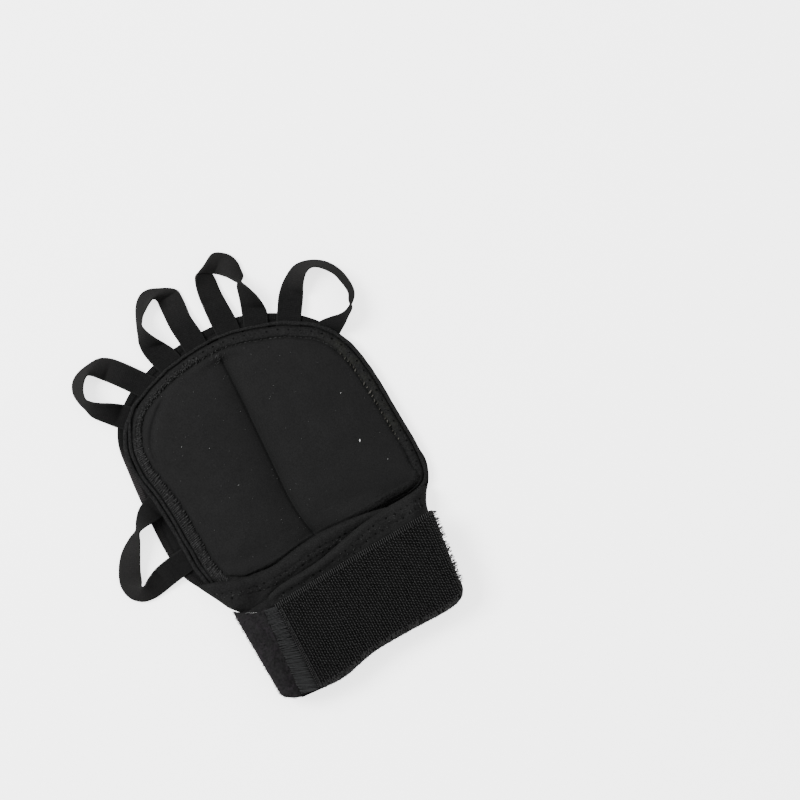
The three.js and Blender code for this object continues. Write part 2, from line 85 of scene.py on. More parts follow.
MM = 0.001
SHIFT = np.array([0.0156, 0.1201, 0.0])
GAP = 0.3
NEOPRENE = 2.0
ELASTIC = 1.0
BAND = 1.2
HOOK_BASE = 1.4
TUNNEL_HEIGHT = 6.2
CUFF_LIFT = BAND + GAP
PANEL_TOP = NEOPRENE
PAD_BASE = PANEL_TOP + GAP
TAPE_TOP = PANEL_TOP + GAP + ELASTIC
THUMB_FLAP_Z = CUFF_LIFT + NEOPRENE + TUNNEL_HEIGHT + NEOPRENE / 2
OUTER_FLAP_Z = THUMB_FLAP_Z + NEOPRENE + GAP
HOOK_TAPE_Z = OUTER_FLAP_Z + NEOPRENE / 2 + GAP + HOOK_BASE / 2
BAND_FRONT_Z = THUMB_FLAP_Z + NEOPRENE / 2 + GAP + BAND / 2
BAND_SEAM_Z = HOOK_TAPE_Z - HOOK_BASE / 2 - GAP - BAND / 2
UP = Vector((0.0, 0.0, 1.0))

# A grid's outermost points are further than this share from its middle
RIM = 0.4999


class Slot(Enum):
    """The material slots."""

    NEOPRENE = "neoprene"
    PAD_KNIT = "pad_knit"
    PIPING = "piping"
    ELASTIC = "elastic"
    LOOP_PILE = "loop_pile"
    HOOKS = "hooks"


class Side(Enum):
    """The side of the hand where a flap folds."""

    THUMB = -1
    OUTER = 1


class PanelRow(NamedTuple):
    """One section of an outline that has a left and a right side."""

    y: float
    left: float
    right: float


class TapeRow(NamedTuple):
    """One section of a tape loop: where its lower and its upper edge are, seen from above."""

    low_x: float
    low_y: float
    high_x: float
    high_y: float


class LineRow(NamedTuple):
    """One place of a line that runs up the glove, such as a fold or a groove."""

    y: float
    x: float


class HemRow(NamedTuple):
    """Where a flap's hem and wrist edge run, how far the hem dips, and how puffy it is."""

    x: float
    edge: float
    end: float
    low: float
    puff: float


class BandRow(NamedTuple):
    """One section of the wrist band: level is 0 on the ground run and 1 on the front run."""

    x: float
    level: float
    top: float
    bottom: float


class HookRow(NamedTuple):
    """One section of the hook tape, from its top edge to its bottom edge."""

    top_x: float
    top_y: float
    bottom_x: float
    bottom_y: float


class BorderRow(NamedTuple):
    """How wide the pad's sewn border is near one place."""

    x: float
    y: float
    width: float


class HollowRow(NamedTuple):
    """A soft hollow in a flap."""

    x: float
    y: float
    deep: float
    wide: float


class SpeckRow(NamedTuple):
    """One bit of lint: its middle, its length and thickness, and how it is turned."""

    x: float
    y: float
    long: float
    thick: float
    turn: float


def rows_of(kind: type, *rows: tuple[float, ...]) -> tuple:
    """Makes a table out of rows of numbers, with the columns that the kind of row names."""
    return tuple(kind(*row) for row in rows)


def smooth(value: Array | float) -> Array | float:
    """Eases from 0 to 1 as value goes from 0 to 1."""
    t = np.clip(value, 0.0, 1.0)
    return t * t * (3 - 2 * t)


def hump(value: Array | float, width: float | Array) -> Array | float:
    """A rounded hump that is 1 at 0 and fades out over a width."""
    return np.exp(-((value / width) ** 2))


def curve_points(points: Array, steps: Array, closed: bool = False) -> Array:
    """Points of a smooth curve through a list of points.

    Args:
        points: The points, one row each.
        steps: Places on the curve, from 0 at the first point, counted in spans.
        closed: Whether the last point joins the first.

    Returns:
        One row for each step.
    """
    points = np.asarray(points, float)
    count = len(points)
    spans = count if closed else count - 1
    index = np.minimum(np.floor(steps).astype(int), spans - 1)
    t = (steps - index)[:, None]
    if closed:
        around = [points[(index + k) % count] for k in (-1, 0, 1, 2)]
    else:
        longer = np.vstack([2 * points[0] - points[1], points, 2 * points[-1] - points[-2]])
        around = [longer[index + k] for k in (0, 1, 2, 3)]
    a, b, c, d = around
    gaps = [np.sqrt(np.linalg.norm(q - p, axis=1))[:, None] for p, q in ((a, b), (b, c), (c, d))]
    before, here, after = (np.maximum(gap, 1e-4) for gap in gaps)
    leave = ((b - a) / before - (c - a) / (before + here) + (c - b) / here) * here
    arrive = ((c - b) / here - (d - b) / (here + after) + (d - c) / after) * here
    square = -3 * b + 3 * c - 2 * leave - arrive
    cube = 2 * b - 2 * c + leave + arrive
    return b + leave * t + square * t**2 + cube * t**3


class Track:
    """A column of values that can be read anywhere between its places."""

    def __init__(self, places: Array, values: Array) -> None:
        """Keeps the column.

        Args:
            places: Where each value stands, in rising order.
            values: The values.
        """
        self.places, self.values = places, values

    @classmethod
    def of(cls, rows: Sequence[NamedTuple], along: str, column: str) -> Track:
        """Makes a smooth track from one column of a table.

        Args:
            rows: The table.
            along: The column that says where a row stands.
            column: The column that is read.

        Returns:
            The track.
        """
        table = sorted((getattr(row, along), getattr(row, column)) for row in rows)
        steps = np.linspace(0, len(table) - 1, 40 * len(table))
        found = curve_points(np.array(table), steps)
        return cls(found[:, 0], found[:, 1])

    def __call__(self, place: Array | float) -> Array:
        """Reads the column at a place."""
        return np.interp(place, self.places, self.values)


@dataclass(frozen=True)
class Ripple:
    """Gentle uneven height: waves of many directions, the same at each run.

    Attributes:
        seed: Chooses the directions.
    """

    wavelength: float
    height: float
    seed: int

    def __call__(self, x: Array, y: Array) -> Array:
        """Returns the height at each place.

        Args:
            x: X of each place.
            y: Y of each place.

        Returns:
            The height at each place.
        """
        rng = np.random.default_rng(self.seed)
        total = np.zeros_like(np.asarray(x, float))
        waves = 9
        for _ in range(waves):
            turn, phase = rng.uniform(0, 2 * math.pi, 2)
            number = 2 * math.pi / (self.wavelength * rng.uniform(0.7, 1.6))
            total += np.sin(number * (x * math.cos(turn) + y * math.sin(turn)) + phase)
        return total * self.height / math.sqrt(waves)


class Outline:
    """A closed outline, kept as even points that run against the clock."""

    def __init__(self, points: Array) -> None:
        """Keeps the points."""
        self.points = points

    @classmethod
    def of(cls, rows: Sequence[PanelRow], count: int = 1600) -> Outline:
        """Samples a table of sections evenly, from the lower right.

        Args:
            rows: The sections, from the wrist end to the fingers.
            count: How many points are kept.

        Returns:
            The outline.
        """
        right = [(row.right, row.y) for row in rows]
        left = [(row.left, row.y) for row in reversed(rows)]
        table = np.array(right + left)
        steps = np.linspace(0, len(table), 4000, endpoint=False)
        dense = curve_points(table, steps, closed=True)
        lengths = np.linalg.norm(np.roll(dense, -1, 0) - dense, axis=1)
        along = np.concatenate([[0], np.cumsum(lengths)])
        wanted = np.linspace(0, along[-1], count, endpoint=False)
        ring = np.vstack([dense, dense[:1]])
        return cls(np.column_stack([np.interp(wanted, along, ring[:, k]) for k in (0, 1)]))

    @cached_property
    def length(self) -> float:
        """The way round, in millimetres."""
        return float(np.linalg.norm(np.roll(self.points, -1, 0) - self.points, axis=1).sum())

    @cached_property
    def area(self) -> float:
        """The area inside, in square millimetres."""
        x, y = self.points[:, 0], self.points[:, 1]
        return float(abs(np.dot(x, np.roll(y, -1)) - np.dot(y, np.roll(x, -1))) / 2)

    @cached_property
    def normals(self) -> Array:
        """Unit normals that point into the outline."""
        along = np.roll(self.points, -1, 0) - np.roll(self.points, 1, 0)
        along /= np.linalg.norm(along, axis=1)[:, None]
        return np.column_stack([-along[:, 1], along[:, 0]])

    @cached_property
    def tree(self) -> KDTree:
        """A search tree of the points."""
        tree = KDTree(len(self.points))
        for index, (x, y) in enumerate(self.points):
            tree.insert((x, y, 0.0), index)
        tree.balance()
        return tree

    def at(self, share: Array, inside: Array | float) -> Array:
        """Points at a share of the way round, at a distance inside.

        Args:
            share: Shares of the way round.
            inside: How far inside the outline.

        Returns:
            The points, one row each.
        """
        place = np.asarray(share, float) % 1.0 * len(self.points)
        low = np.floor(place).astype(int) % len(self.points)
        high = (low + 1) % len(self.points)
        part = (place - np.floor(place))[:, None]
        point = self.points[low] * (1 - part) + self.points[high] * part
        normal = self.normals[low] * (1 - part) + self.normals[high] * part
        return point + normal * np.broadcast_to(inside, len(place))[:, None]

    def nearest(self, x: Array, y: Array) -> tuple[Array, Array]:
        """Finds the outline from inside.

        Args:
            x: X of each place.
            y: Y of each place.

        Returns:
            How deep each place lies inside, and its share of the way round.
        """
        found = np.array([self.tree.find((px, py, 0.0))[1] for px, py in zip(x, y)])
        away = np.column_stack([x, y]) - self.points[found]
        depth = np.einsum("ij,ij->i", away, self.normals[found])
        return np.maximum(depth, 0.0), found / len(self.points)

    def share_near(self, x: float, y: float) -> float:
        """The share of the way round of the point nearest to a place."""
        return self.tree.find((x, y, 0.0))[1] / len(self.points)

    def sides(self, y: Array) -> tuple[Array, Array]:
        """Left and right edge at each y.

        Args:
            y: Y of each place.

        Returns:
            The left edges and the right edges.
        """
        low, high = int(np.argmin(self.points[:, 1])), int(np.argmax(self.points[:, 1]))
        ring = np.roll(self.points, -low, 0)
        turn = (high - low) % len(ring)
        right, left = ring[: turn + 1], np.vstack([ring[turn:], ring[:1]])[::-1]
        return np.interp(y, left[:, 1], left[:, 0]), np.interp(y, right[:, 1], right[:, 0])

    def rows(self, along: Array) -> Array:
        """Y of rows at shares from the lowest to the highest, closer together at the ends."""
        low, high = self.points[:, 1].min() + 0.02, self.points[:, 1].max() - 0.02
        return (low + high) / 2 - (high - low) / 2 * np.cos(math.pi * along)


def deselect() -> None:
    """Deselects everything."""
    bpy.ops.object.select_all(action="DESELECT")


def pick(*objects: Piece) -> None:
    """Selects only these objects, with the first one active.

    Args:
        *objects: What is selected.
    """
    deselect()
    for item in objects:
        item.select_set(True)
    bpy.context.view_layer.objects.active = objects[0]


def name_added(name: str) -> Piece:
    """Names the object that was just added.

    Args:
        name: Its new name.

    Returns:
        The object.
    """
    item = bpy.context.active_object
    item.name = name
    item.data.name = name
    return item


def modify(item: Piece, kind: str, **settings: Any) -> None:
    """Adds a modifier and applies it.

    Args:
        item: The object.
        kind: The modifier's type.
        **settings: The modifier's settings.
    """
    pick(item)
    bpy.ops.object.modifier_add(type=kind)
    modifier = item.modifiers[-1]
    for key, value in settings.items():
        setattr(modifier, key, value)
    bpy.ops.object.modifier_apply(modifier=modifier.name)


def soften(item: Piece, degrees: float) -> None:
    """Shades smooth across edges that turn less than an angle."""
    pick(item)
    bpy.ops.object.shade_smooth_by_angle(angle=math.radians(degrees))


def mesh_points(item: Piece) -> Array:
    """The mesh's points in metres.

    Args:
        item: The object.

    Returns:
        The points, one row each.
    """
    flat = np.empty(len(item.data.vertices) * 3)
    item.data.vertices.foreach_get("co", flat)
    return flat.reshape(-1, 3)


def move_points(item: Piece, points: Array) -> None:
    """Moves the mesh's points, in metres."""
    item.data.vertices.foreach_set("co", np.ravel(points))
    item.data.update()


def metres(*columns: Array) -> Array:
    """Turns columns of the part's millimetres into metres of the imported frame."""
    return (np.column_stack(columns) + SHIFT) * MM


def millimetres(points: Array) -> Array:
    """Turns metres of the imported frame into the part's millimetres."""
    return points / MM - SHIFT


@contextmanager
def editing(item: Piece, action: str = "SELECT", kind: str = "VERT") -> Iterator[None]:
    """Opens an object for editing, with all or nothing of it selected.

    Args:
        item: The object.
        action: SELECT for all and DESELECT for nothing.
        kind: Whether points or edges are picked.
    """
    pick(item)
    bpy.ops.object.mode_set(mode="EDIT")
    bpy.ops.mesh.select_mode(type=kind)
    bpy.ops.mesh.select_all(action=action)
    yield
    bpy.ops.mesh.select_mode(type="VERT")
    bpy.ops.object.mode_set(mode="OBJECT")


def add_grid(name: str, columns: int, rows: int) -> tuple[Piece, Array, Array]:
    """Adds a flat grid to be shaped.

    Args:
        name: The object's name.
        columns: How many faces it has across.
        rows: How many faces it has along.

    Returns:
        The object, and each vertex's share across and along.
    """
    deselect()
    bpy.ops.mesh.primitive_grid_add(
        x_subdivisions=columns, y_subdivisions=rows, size=1, calc_uvs=True
    )
    item = name_added(name)
    flat = mesh_points(item)
    return item, flat[:, 0] + 0.5, flat[:, 1] + 0.5


def add_rod(name: str, sides: int, cuts: int) -> Piece:
    """Adds a round rod from -0.5 to 0.5 along Z, divided along.

    Args:
        name: The object's name.
        sides: How many sides it has.
        cuts: How many times it is divided.

    Returns:
        The closed rod.
    """
    deselect()
    bpy.ops.mesh.primitive_cylinder_add(vertices=sides, radius=0.5, depth=1)
    item = name_added(name)
    with editing(item, "DESELECT", "EDGE"):
        bpy.ops.object.mode_set(mode="OBJECT")
        for edge in item.data.edges:
            first, last = (item.data.vertices[corner].co.z for corner in edge.vertices)
            edge.select = abs(first - last) > 0.5
        bpy.ops.object.mode_set(mode="EDIT")
        bpy.ops.mesh.subdivide(number_cuts=cuts)
    return item


def lay_uv(item: Piece, across: Array, along: Array) -> None:
    """Gives each vertex its place on the cloth, in millimetres, as the UV map.

    Args:
        item: The piece.
        across: Each vertex's place across.
        along: Its place along.
    """
    corners = np.empty(len(item.data.loops), int)
    item.data.loops.foreach_get("vertex_index", corners)
    flat = np.column_stack([across, along])[corners] * MM
    item.data.uv_layers.active.data.foreach_set("uv", flat.ravel())


def close_seams(item: Piece, degrees: float, gap: float = 0.002) -> None:
    """Merges doubled points, turns every face outwards and softens the edges.

    Args:
        item: The piece.
        degrees: The least turn of an edge that stays sharp.
        gap: How far apart doubled points may be.
    """
    with editing(item):
        bpy.ops.mesh.remove_doubles(threshold=gap * MM)
        bpy.ops.mesh.normals_make_consistent(inside=False)
    soften(item, degrees)


def close_base(item: Piece) -> None:
    """Closes an open form with a flat face across its rim.

    Args:
        item: The open form.
    """
    with editing(item, "DESELECT", "EDGE"):
        bpy.ops.mesh.select_non_manifold()
        bpy.ops.mesh.edge_face_add()
        bpy.ops.mesh.quads_convert_to_tris()
    with editing(item):
        bpy.ops.mesh.normals_make_consistent(inside=False)


def hand_in(item: Piece, slot: Slot, finish: Finish, node: str | None = None) -> Piece:
    """Gives a finished piece its material and its place in the frame.

    Args:
        item: The piece.
        slot: Not used.
        finish: What its surface looks like.
        node: The CAD node that it stands for.

    Returns:
        The piece.
    """
    item.data.materials.clear()
    item.data.materials.append(finish.material())
    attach(item, "root")
    if node:
        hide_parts(node)
    return item


@dataclass
class Wall:
    """A cloth wall: a grid shaped to the middle of the cloth, with rounded edges.

    The width runs across the cloth and the length along it.

    Attributes:
        step: Distance between grid lines across.
        stride: Distance between grid lines along.
    """

    name: str
    width: float
    length: float
    thickness: float
    step: float
    stride: float

    def lines(self, size: float, step: float) -> Array:
        """Places of grid lines, closer together round both edges.

        Args:
            size: The cloth's size.
            step: Distance between lines away from the edges.

        Returns:
            The places of the lines.
        """
        radius = self.thickness / 2
        near = radius * (1 - np.cos(np.radians([0.0, 22.5, 45.0, 67.5])))
        count = max(2, round((size - 2 * radius) / step))
        middle = np.linspace(radius, size - radius, count + 1)
        return np.concatenate([near, middle, size - near[::-1]])

    def make(self, shape: Callable[[Array, Array], Array]) -> Piece:
        """Makes the wall.

        Args:
            shape: Gives the middle of the cloth at shares across and along.

        Returns:
            The closed wall.
        """
        across_lines = self.lines(self.width, self.step)
        along_lines = self.lines(self.length, self.stride)
        columns, rows = len(across_lines) - 1, len(along_lines) - 1
        item, across, along = add_grid(self.name, columns, rows)
        run_across = across_lines[np.rint(across * columns).astype(int)]
        run_along = along_lines[np.rint(along * rows).astype(int)]
        move_points(item, metres(shape(run_across / self.width, run_along / self.length)))
        lay_uv(item, run_across, run_along)
        to_side = np.minimum(run_across, self.width - run_across)
        to_end = np.minimum(run_along, self.length - run_along)
        edge = np.clip(np.minimum(to_side, to_end) / (self.thickness / 2), 0, 1)
        weights = np.round(np.sqrt(1 - (1 - edge) ** 2), 3)
        group = item.vertex_groups.new(name="wall")
        for weight in np.unique(weights):
            chosen = np.nonzero(weights == weight)[0]
            group.add([int(index) for index in chosen], float(weight), "REPLACE")
        modify(
            item, "SOLIDIFY", thickness=self.thickness * MM, offset=0.0, vertex_group="wall"
        )
        item.vertex_groups.clear()
        close_seams(item, 60)
        return item


class Stamp:
    """A small shape that is modelled once and repeated in one mesh."""

    def __init__(self, item: Piece) -> None:
        """Takes the small shape's mesh, and removes the model.

        Args:
            item: The model.
        """
        self.points = mesh_points(item)
        self.faces = [tuple(face.vertices) for face in item.data.polygons]
        bpy.data.objects.remove(item)

    def repeat(self, name: str, places: Sequence[Matrix]) -> Piece:
        """Makes one object with a copy at each place.

        Args:
            name: The new object's name.
            places: Where each copy stands, in metres.

        Returns:
            The object.
        """
        turned = [self.points @ np.array(m)[:3, :3].T + np.array(m)[:3, 3] for m in places]
        size = len(self.points)
        faces = [
            tuple(corner + size * copy for corner in face)
            for copy in range(len(places))
            for face in self.faces
        ]
        mesh = bpy.data.meshes.new(name)
        mesh.from_pydata(np.concatenate(turned).tolist(), [], faces)
        mesh.update()
        item = bpy.data.objects.new(name, mesh)
        bpy.context.scene.collection.objects.link(item)
        mesh.shade_smooth()
        return item

    @staticmethod
    def thread(cuts: int, bow: float, taper: float, sides: int = 6) -> Stamp:
        """Models a short thread from -0.5 to 0.5 along X, bent down at its ends.

        Args:
            cuts: How many times it is divided along.
            bow: How high its middle stands over its ends.
            taper: How thin its ends are, where 1 is a point.
            sides: How many sides it has.

        Returns:
            The stamp.
        """
        item = add_rod("thread", sides, cuts)
        flat = mesh_points(item)
        end = (2 * flat[:, 2]) ** 2
        ring = flat[:, :2] * np.sqrt(1 - taper * end)[:, None]
        move_points(item, np.column_stack([flat[:, 2], ring[:, 0], ring[:, 1] - bow * end]))
        return Stamp(item)

    @staticmethod
    def hook() -> Stamp:
        """Models one hook: a bent thread that leaves the tape, turns over and points down.

        Returns:
            The stamp.
        """
        deselect()
        bpy.ops.mesh.primitive_circle_add(
            vertices=5, radius=0.17, location=(0.42, 0, 0), fill_type="NGON"
        )
        item = name_added("hook")
        bpy.ops.object.transform_apply(location=True, rotation=True)
        with editing(item):
            bpy.ops.mesh.spin(steps=6, angle=math.radians(190), center=(0, 0, 0), axis=(0, 1, 0))
            bpy.ops.mesh.select_all(action="SELECT")
            bpy.ops.mesh.normals_make_consistent(inside=False)
        return Stamp(item)

    @staticmethod
    def dimple() -> Stamp:
        """Models a needle hole: a small bowl with a raised lip.

        Returns:
            The stamp.
        """
        deselect()
        bpy.ops.mesh.primitive_circle_add(vertices=8, radius=0.5, fill_type="NGON")
        item = name_added("dimple")
        with editing(item):
            for inwards, upwards in ((0.16, 0.10), (0.14, -0.10)):
                bpy.ops.mesh.inset(thickness=inwards)
                bpy.ops.transform.translate(value=(0, 0, upwards))
        return Stamp(item)


def lay_thread(start: Vector, end: Vector, normal: Vector, thick: float, proud: float) -> Matrix:
    """The place of a thread between two points.

    Args:
        start: Where the thread goes in, in metres.
        end: Where it comes out, in metres.
        normal: The cloth's normal.
        thick: The thread's thickness in millimetres.
        proud: How far its ends stand over the cloth, in thicknesses.

    Returns:
        The thread's matrix.
    """
    line = end - start
    forward = line.normalized()
    up = (normal - forward * normal.dot(forward)).normalized()
    side = up.cross(forward)
    turn = Matrix((forward * line.length, side * thick * MM, up * thick * MM)).transposed()
    return Matrix.Translation((start + end) / 2 + up * proud * thick * MM) @ turn.to_4x4()


class Needle:
    """Sews on finished pieces: each thread lies on the cloth that is under it."""

    def __init__(self, *cloth: Piece) -> None:
        """Looks at the pieces that are sewn."""
        graph = bpy.context.evaluated_depsgraph_get()
        self.trees = [BVHTree.FromObject(item, graph) for item in cloth]

    def drop(self, x: float, y: float) -> tuple[Vector, Vector] | None:
        """Drops a plumb line.

        Args:
            x: X of the line.
            y: Y of the line.

        Returns:
            The highest point met and its normal, in metres, or None.
        """
        start = Vector(metres(x, y, 60.0)[0])
        hits = [tree.ray_cast(start, -UP) for tree in self.trees]
        found = [(point, normal) for point, normal, _, _ in hits if point is not None]
        return max(found, key=lambda hit: hit[0].z) if found else None

    def threads(
        self, starts: Array, ends: Array, thick: Array | float, proud: float = 0.5
    ) -> list[Matrix]:
        """Lays threads between pairs of places.

        Args:
            starts: Where each thread goes in, as rows of X and Y.
            ends: Where it comes out.
            thick: The threads' thickness.
            proud: How far the ends stand over the cloth, in thicknesses.

        Returns:
            The threads' places.
        """
        sizes = np.broadcast_to(thick, len(starts))
        places = []
        for start, end, size in zip(starts, ends, sizes):
            first, last = self.drop(*start), self.drop(*end)
            if first and last:
                normal = (first[1] + last[1]).normalized()
                places.append(lay_thread(first[0], last[0], normal, float(size), proud))
        return places

    def pricks(self, centres: Array, size: Array | float) -> list[Matrix]:
        """Pricks needle holes.

        Args:
            centres: The holes' places, as rows of X and Y.
            size: The holes' width.

        Returns:
            The holes' places.
        """
        places = []
        for centre, wide in zip(centres, np.broadcast_to(size, len(centres))):
            found = self.drop(*centre)
            if found:
                turn = UP.rotation_difference(found[1]).to_matrix().to_4x4()
                grow = Matrix.Diagonal((wide * MM, wide * MM, MM, 1.0))
                places.append(Matrix.Translation(found[0] + found[1] * 0.03 * MM) @ turn @ grow)
        return places


class Shader:
    """A material's nodes while they are put together."""

    def __init__(self, name: str) -> None:
        """Starts an empty material.

        Args:
            name: The material's name.
        """
        self.made = bpy.data.materials.new(name)
        self.made.use_nodes = True
        self.tree = self.made.node_tree
        self.tree.nodes.clear()
        self.coordinates = self.tree.nodes.new("ShaderNodeTexCoord")

    @property
    def on_object(self) -> Socket:
        """The piece's own coordinates."""
        return self.coordinates.outputs["Object"]

    @property
    def on_cloth(self) -> Socket:
        """The cloth's own coordinates, in metres across and along."""
        return self.coordinates.outputs["UV"]

    def node(
        self, kind: str, inputs: dict[Any, Any] | None = None, output: Any = 0, **settings: Any
    ) -> Socket:
        """Adds a node.

        Args:
            kind: The node's type, without its common beginning.
            inputs: A value or another node's output for each named input.
            output: Which output is wanted.
            **settings: The node's settings.

        Returns:
            The wanted output.
        """
        made = self.tree.nodes.new("ShaderNode" + kind)
        for key, value in settings.items():
            setattr(made, key, value)
        for key, value in (inputs or {}).items():
            if isinstance(value, Socket):
                self.tree.links.new(value, made.inputs[key])
            else:
                made.inputs[key].default_value = value
        return made.outputs[output]

    def calc(self, operation: str, first: Any, second: Any = 0.0) -> Socket:
        """Adds a sum of two values."""
        return self.node("Math", {0: first, 1: second}, operation=operation)

    def times(self, first: Any, second: Any) -> Socket:
        """Adds a product."""
        return self.calc("MULTIPLY", first, second)

    def axis(self, where: Any, name: str) -> Socket:
        """Takes one coordinate, in metres."""
        return self.node("SeparateXYZ", {0: where}, output=name)

    def noise(self, where: Any, size: float, detail: float = 3.0) -> Socket:
        """Adds uneven noise whose spots have a size in millimetres."""
        inputs = {"Vector": where, "Scale": 1 / (size * MM), "Detail": detail}
        return self.node("TexNoise", inputs)

    def span(
        self, value: Any, low: float, high: float, start: float = 0.0, end: float = 1.0
    ) -> Socket:
        """Stretches a value so that low to high becomes start to end, and goes no further."""
        return self.node("MapRange", {0: value, 1: low, 2: high, 3: start, 4: end}, clamp=True)

    def ribs(self, where: Any, axis: str, pitch: float) -> Socket:
        """Adds even ribs along an axis, with a pitch in millimetres, from 0 to 1."""
        turn = self.times(self.axis(where, axis), 2 * math.pi / (pitch * MM))
        return self.span(self.calc("SINE", turn), -1.0, 1.0)

    def weigh(self, *parts: tuple[Any, float]) -> Socket:
        """Adds up values, each times its weight.

        Args:
            *parts: Each value with its weight.

        Returns:
            The sum.
        """
        total = self.times(*parts[0])
        for value, weight in parts[1:]:
            inputs = {0: value, 1: weight, 2: total}
            total = self.node("Math", inputs, operation="MULTIPLY_ADD")
        return total

    def blend(self, share: Any, low: Any, high: Any) -> Socket:
        """Mixes two colours by a share."""
        low, high = ((*c, 1.0) if isinstance(c, tuple) else c for c in (low, high))
        return self.node("Mix", {0: share, 6: low, 7: high}, output=2, data_type="RGBA")

    def bump(self, height: Any, tall: float, under: Any = None) -> Socket:
        """Turns a height into relief.

        Args:
            height: The height, from 0 to 1.
            tall: How tall 1 is, in millimetres.
            under: Coarser relief that this one lies on.

        Returns:
            The normal.
        """
        inputs = {"Height": height, "Distance": tall * MM, "Strength": 1.0}
        if under is not None:
            inputs["Normal"] = under
        return self.node("Bump", inputs)

    def close(self, **inputs: Any) -> Material:
        """Ends with a surface whose inputs are named with _ for a space.

        Args:
            **inputs: The surface's inputs.

        Returns:
            The material.
        """
        named = {key.replace("_", " "): value for key, value in inputs.items()}
        end = self.tree.nodes.new("ShaderNodeOutputMaterial")
        self.tree.links.new(self.node("BsdfPrincipled", named), end.inputs["Surface"])
        return self.made


def black(level: float, warm: float = 0.0, green: float = 0.0) -> Colour:
    """A near-black dye.

    Args:
        level: How light it is, from 0 to 1.
        warm: How much it leans from blue to red.
        green: How much it leans from purple to green.

    Returns:
        The colour.
    """
    return (level * (1 + warm - green / 2), level * (1 + green), level * (1 - warm - green / 2))


@dataclass(frozen=True)
class Finish:
    """What every finish has: a name, two dyes, and how it gives back light.

    Attributes:
        dark: Colour in the hollows.
        light: Colour on the crests.
        rough: Roughness of the crests. The hollows are a little rougher.
        sheen: How much the fibres catch light at the edges.
    """

    name: str
    dark: Colour
    light: Colour
    rough: float = 0.9
    gloss: float = 0.0
    sheen: float = 0.008

    def material(self) -> Material:
        """Returns the material, made when it is first asked for."""
        return bpy.data.materials.get(self.name) or self.build(Shader(self.name))

    def build(self, shader: Shader) -> Material:
        """Puts the nodes together.

        Args:
            shader: The material in the making.

        Returns:
            The material.
        """
        mottle = shader.noise(shader.on_object, 0.8)
        share = shader.span(mottle, 0.3, 0.7)
        return self.close(shader, share, self.dyed(shader, share), shader.bump(mottle, 0.1))

    def dyed(self, shader: Shader, share: Any) -> Socket:
        """Mixes the two dyes by a share."""
        return shader.blend(share, self.dark, self.light)

    def close(self, shader: Shader, share: Any, colour: Any, normal: Any) -> Material:
        """Ends the material.

        Args:
            shader: The material in the making.
            share: Where the cloth is smoother, from 0 to 1.
            colour: Its colour.
            normal: Its relief.

        Returns:
            The material.
        """
        return shader.close(
            Base_Color=colour,
            Roughness=shader.span(share, 0, 1, min(1.0, self.rough + 0.1), self.rough - 0.04),
            Specular_IOR_Level=self.gloss,
            Sheen_Weight=self.sheen,
            Sheen_Roughness=0.4,
            Normal=normal,
        )


@dataclass(frozen=True)
class Knit(Finish):
    """A fine jersey face.

    Attributes:
        relief: How tall the knit is, in millimetres.
        lump: How tall the unevenness under it is, in millimetres.
        lump_size: How wide the unevenness is, in millimetres.
    """

    wale: float = 0.45
    relief: float = 0.045
    lump: float = 0.10
    lump_size: float = 3.0

    def weave(self, shader: Shader) -> tuple[Any, Any]:
        """Makes the knit's tone and relief.

        Args:
            shader: The material in the making.

        Returns:
            The tone and the relief.
        """
        where = shader.on_object
        wales = shader.ribs(where, "X", self.wale)
        courses = shader.ribs(where, "Y", self.wale * 1.3)
        cells = shader.times(wales, courses)
        grain = shader.noise(where, 0.55, 2.0)
        cloud = shader.noise(where, 9.0, 2.0)
        lumps = shader.noise(where, self.lump_size, 2.0)
        tone = shader.weigh((grain, 0.62), (cells, 0.12), (cloud, 0.16), (lumps, 0.10))
        coarse = shader.bump(lumps, self.lump)
        fine = shader.bump(shader.weigh((cells, 0.5), (grain, 0.5)), self.relief, coarse)
        return shader.span(tone, 0.3, 0.66), fine

    def build(self, shader: Shader) -> Material:
        """Puts the nodes together.

        Args:
            shader: The material in the making.

        Returns:
            The material.
        """
        share, relief = self.weave(shader)
        return self.close(shader, share, self.dyed(shader, share), relief)


@dataclass(frozen=True)
class PadKnit(Knit):
    """The pad's knit, crumpled in its border, with a tint of wear along the outer side.

    Attributes:
        wear_and_painted_light: The tint of real wear.
        grain: Colour on the crumpled border's crests.
    """

    wear_and_painted_light: Colour = (0.02, 0.018, 0.012)
    grain: Colour = (0.016, 0.016, 0.016)
    border: float = 5.0

    def build(self, shader: Shader) -> Material:
        """Puts the nodes together.

        Args:
            shader: The material in the making.

        Returns:
            The material.
        """
        share, relief = self.weave(shader)
        inside = shader.axis(shader.on_cloth, "Y")
        at_border = shader.span(inside, self.border * MM, (self.border - 1.0) * MM)
        at_side = shader.span(shader.axis(shader.on_object, "X"), 0.036, 0.048)
        along = shader.axis(shader.on_object, "Y")
        above, below = shader.span(along, -0.016, -0.008), shader.span(along, 0.040, 0.030)
        beside = shader.times(above, below)
        blotch = shader.span(shader.noise(shader.on_object, 6.0, 3.0), 0.42, 0.58)
        wear = shader.times(shader.times(at_border, at_side), blotch)
        grit = shader.span(shader.noise(shader.on_object, 0.7, 2.0), 0.35, 0.6)
        wear = shader.times(shader.times(wear, beside), grit)
        colour = shader.blend(wear, self.dyed(shader, share), self.wear_and_painted_light)
        crumbs = shader.times(shader.noise(shader.on_object, 1.1, 3.0), at_border)
        crest = shader.blend(shader.span(crumbs, 0.5, 0.64, 0.0, 0.55), colour, self.grain)
        return self.close(shader, share, crest, shader.bump(crumbs, 0.55, relief))


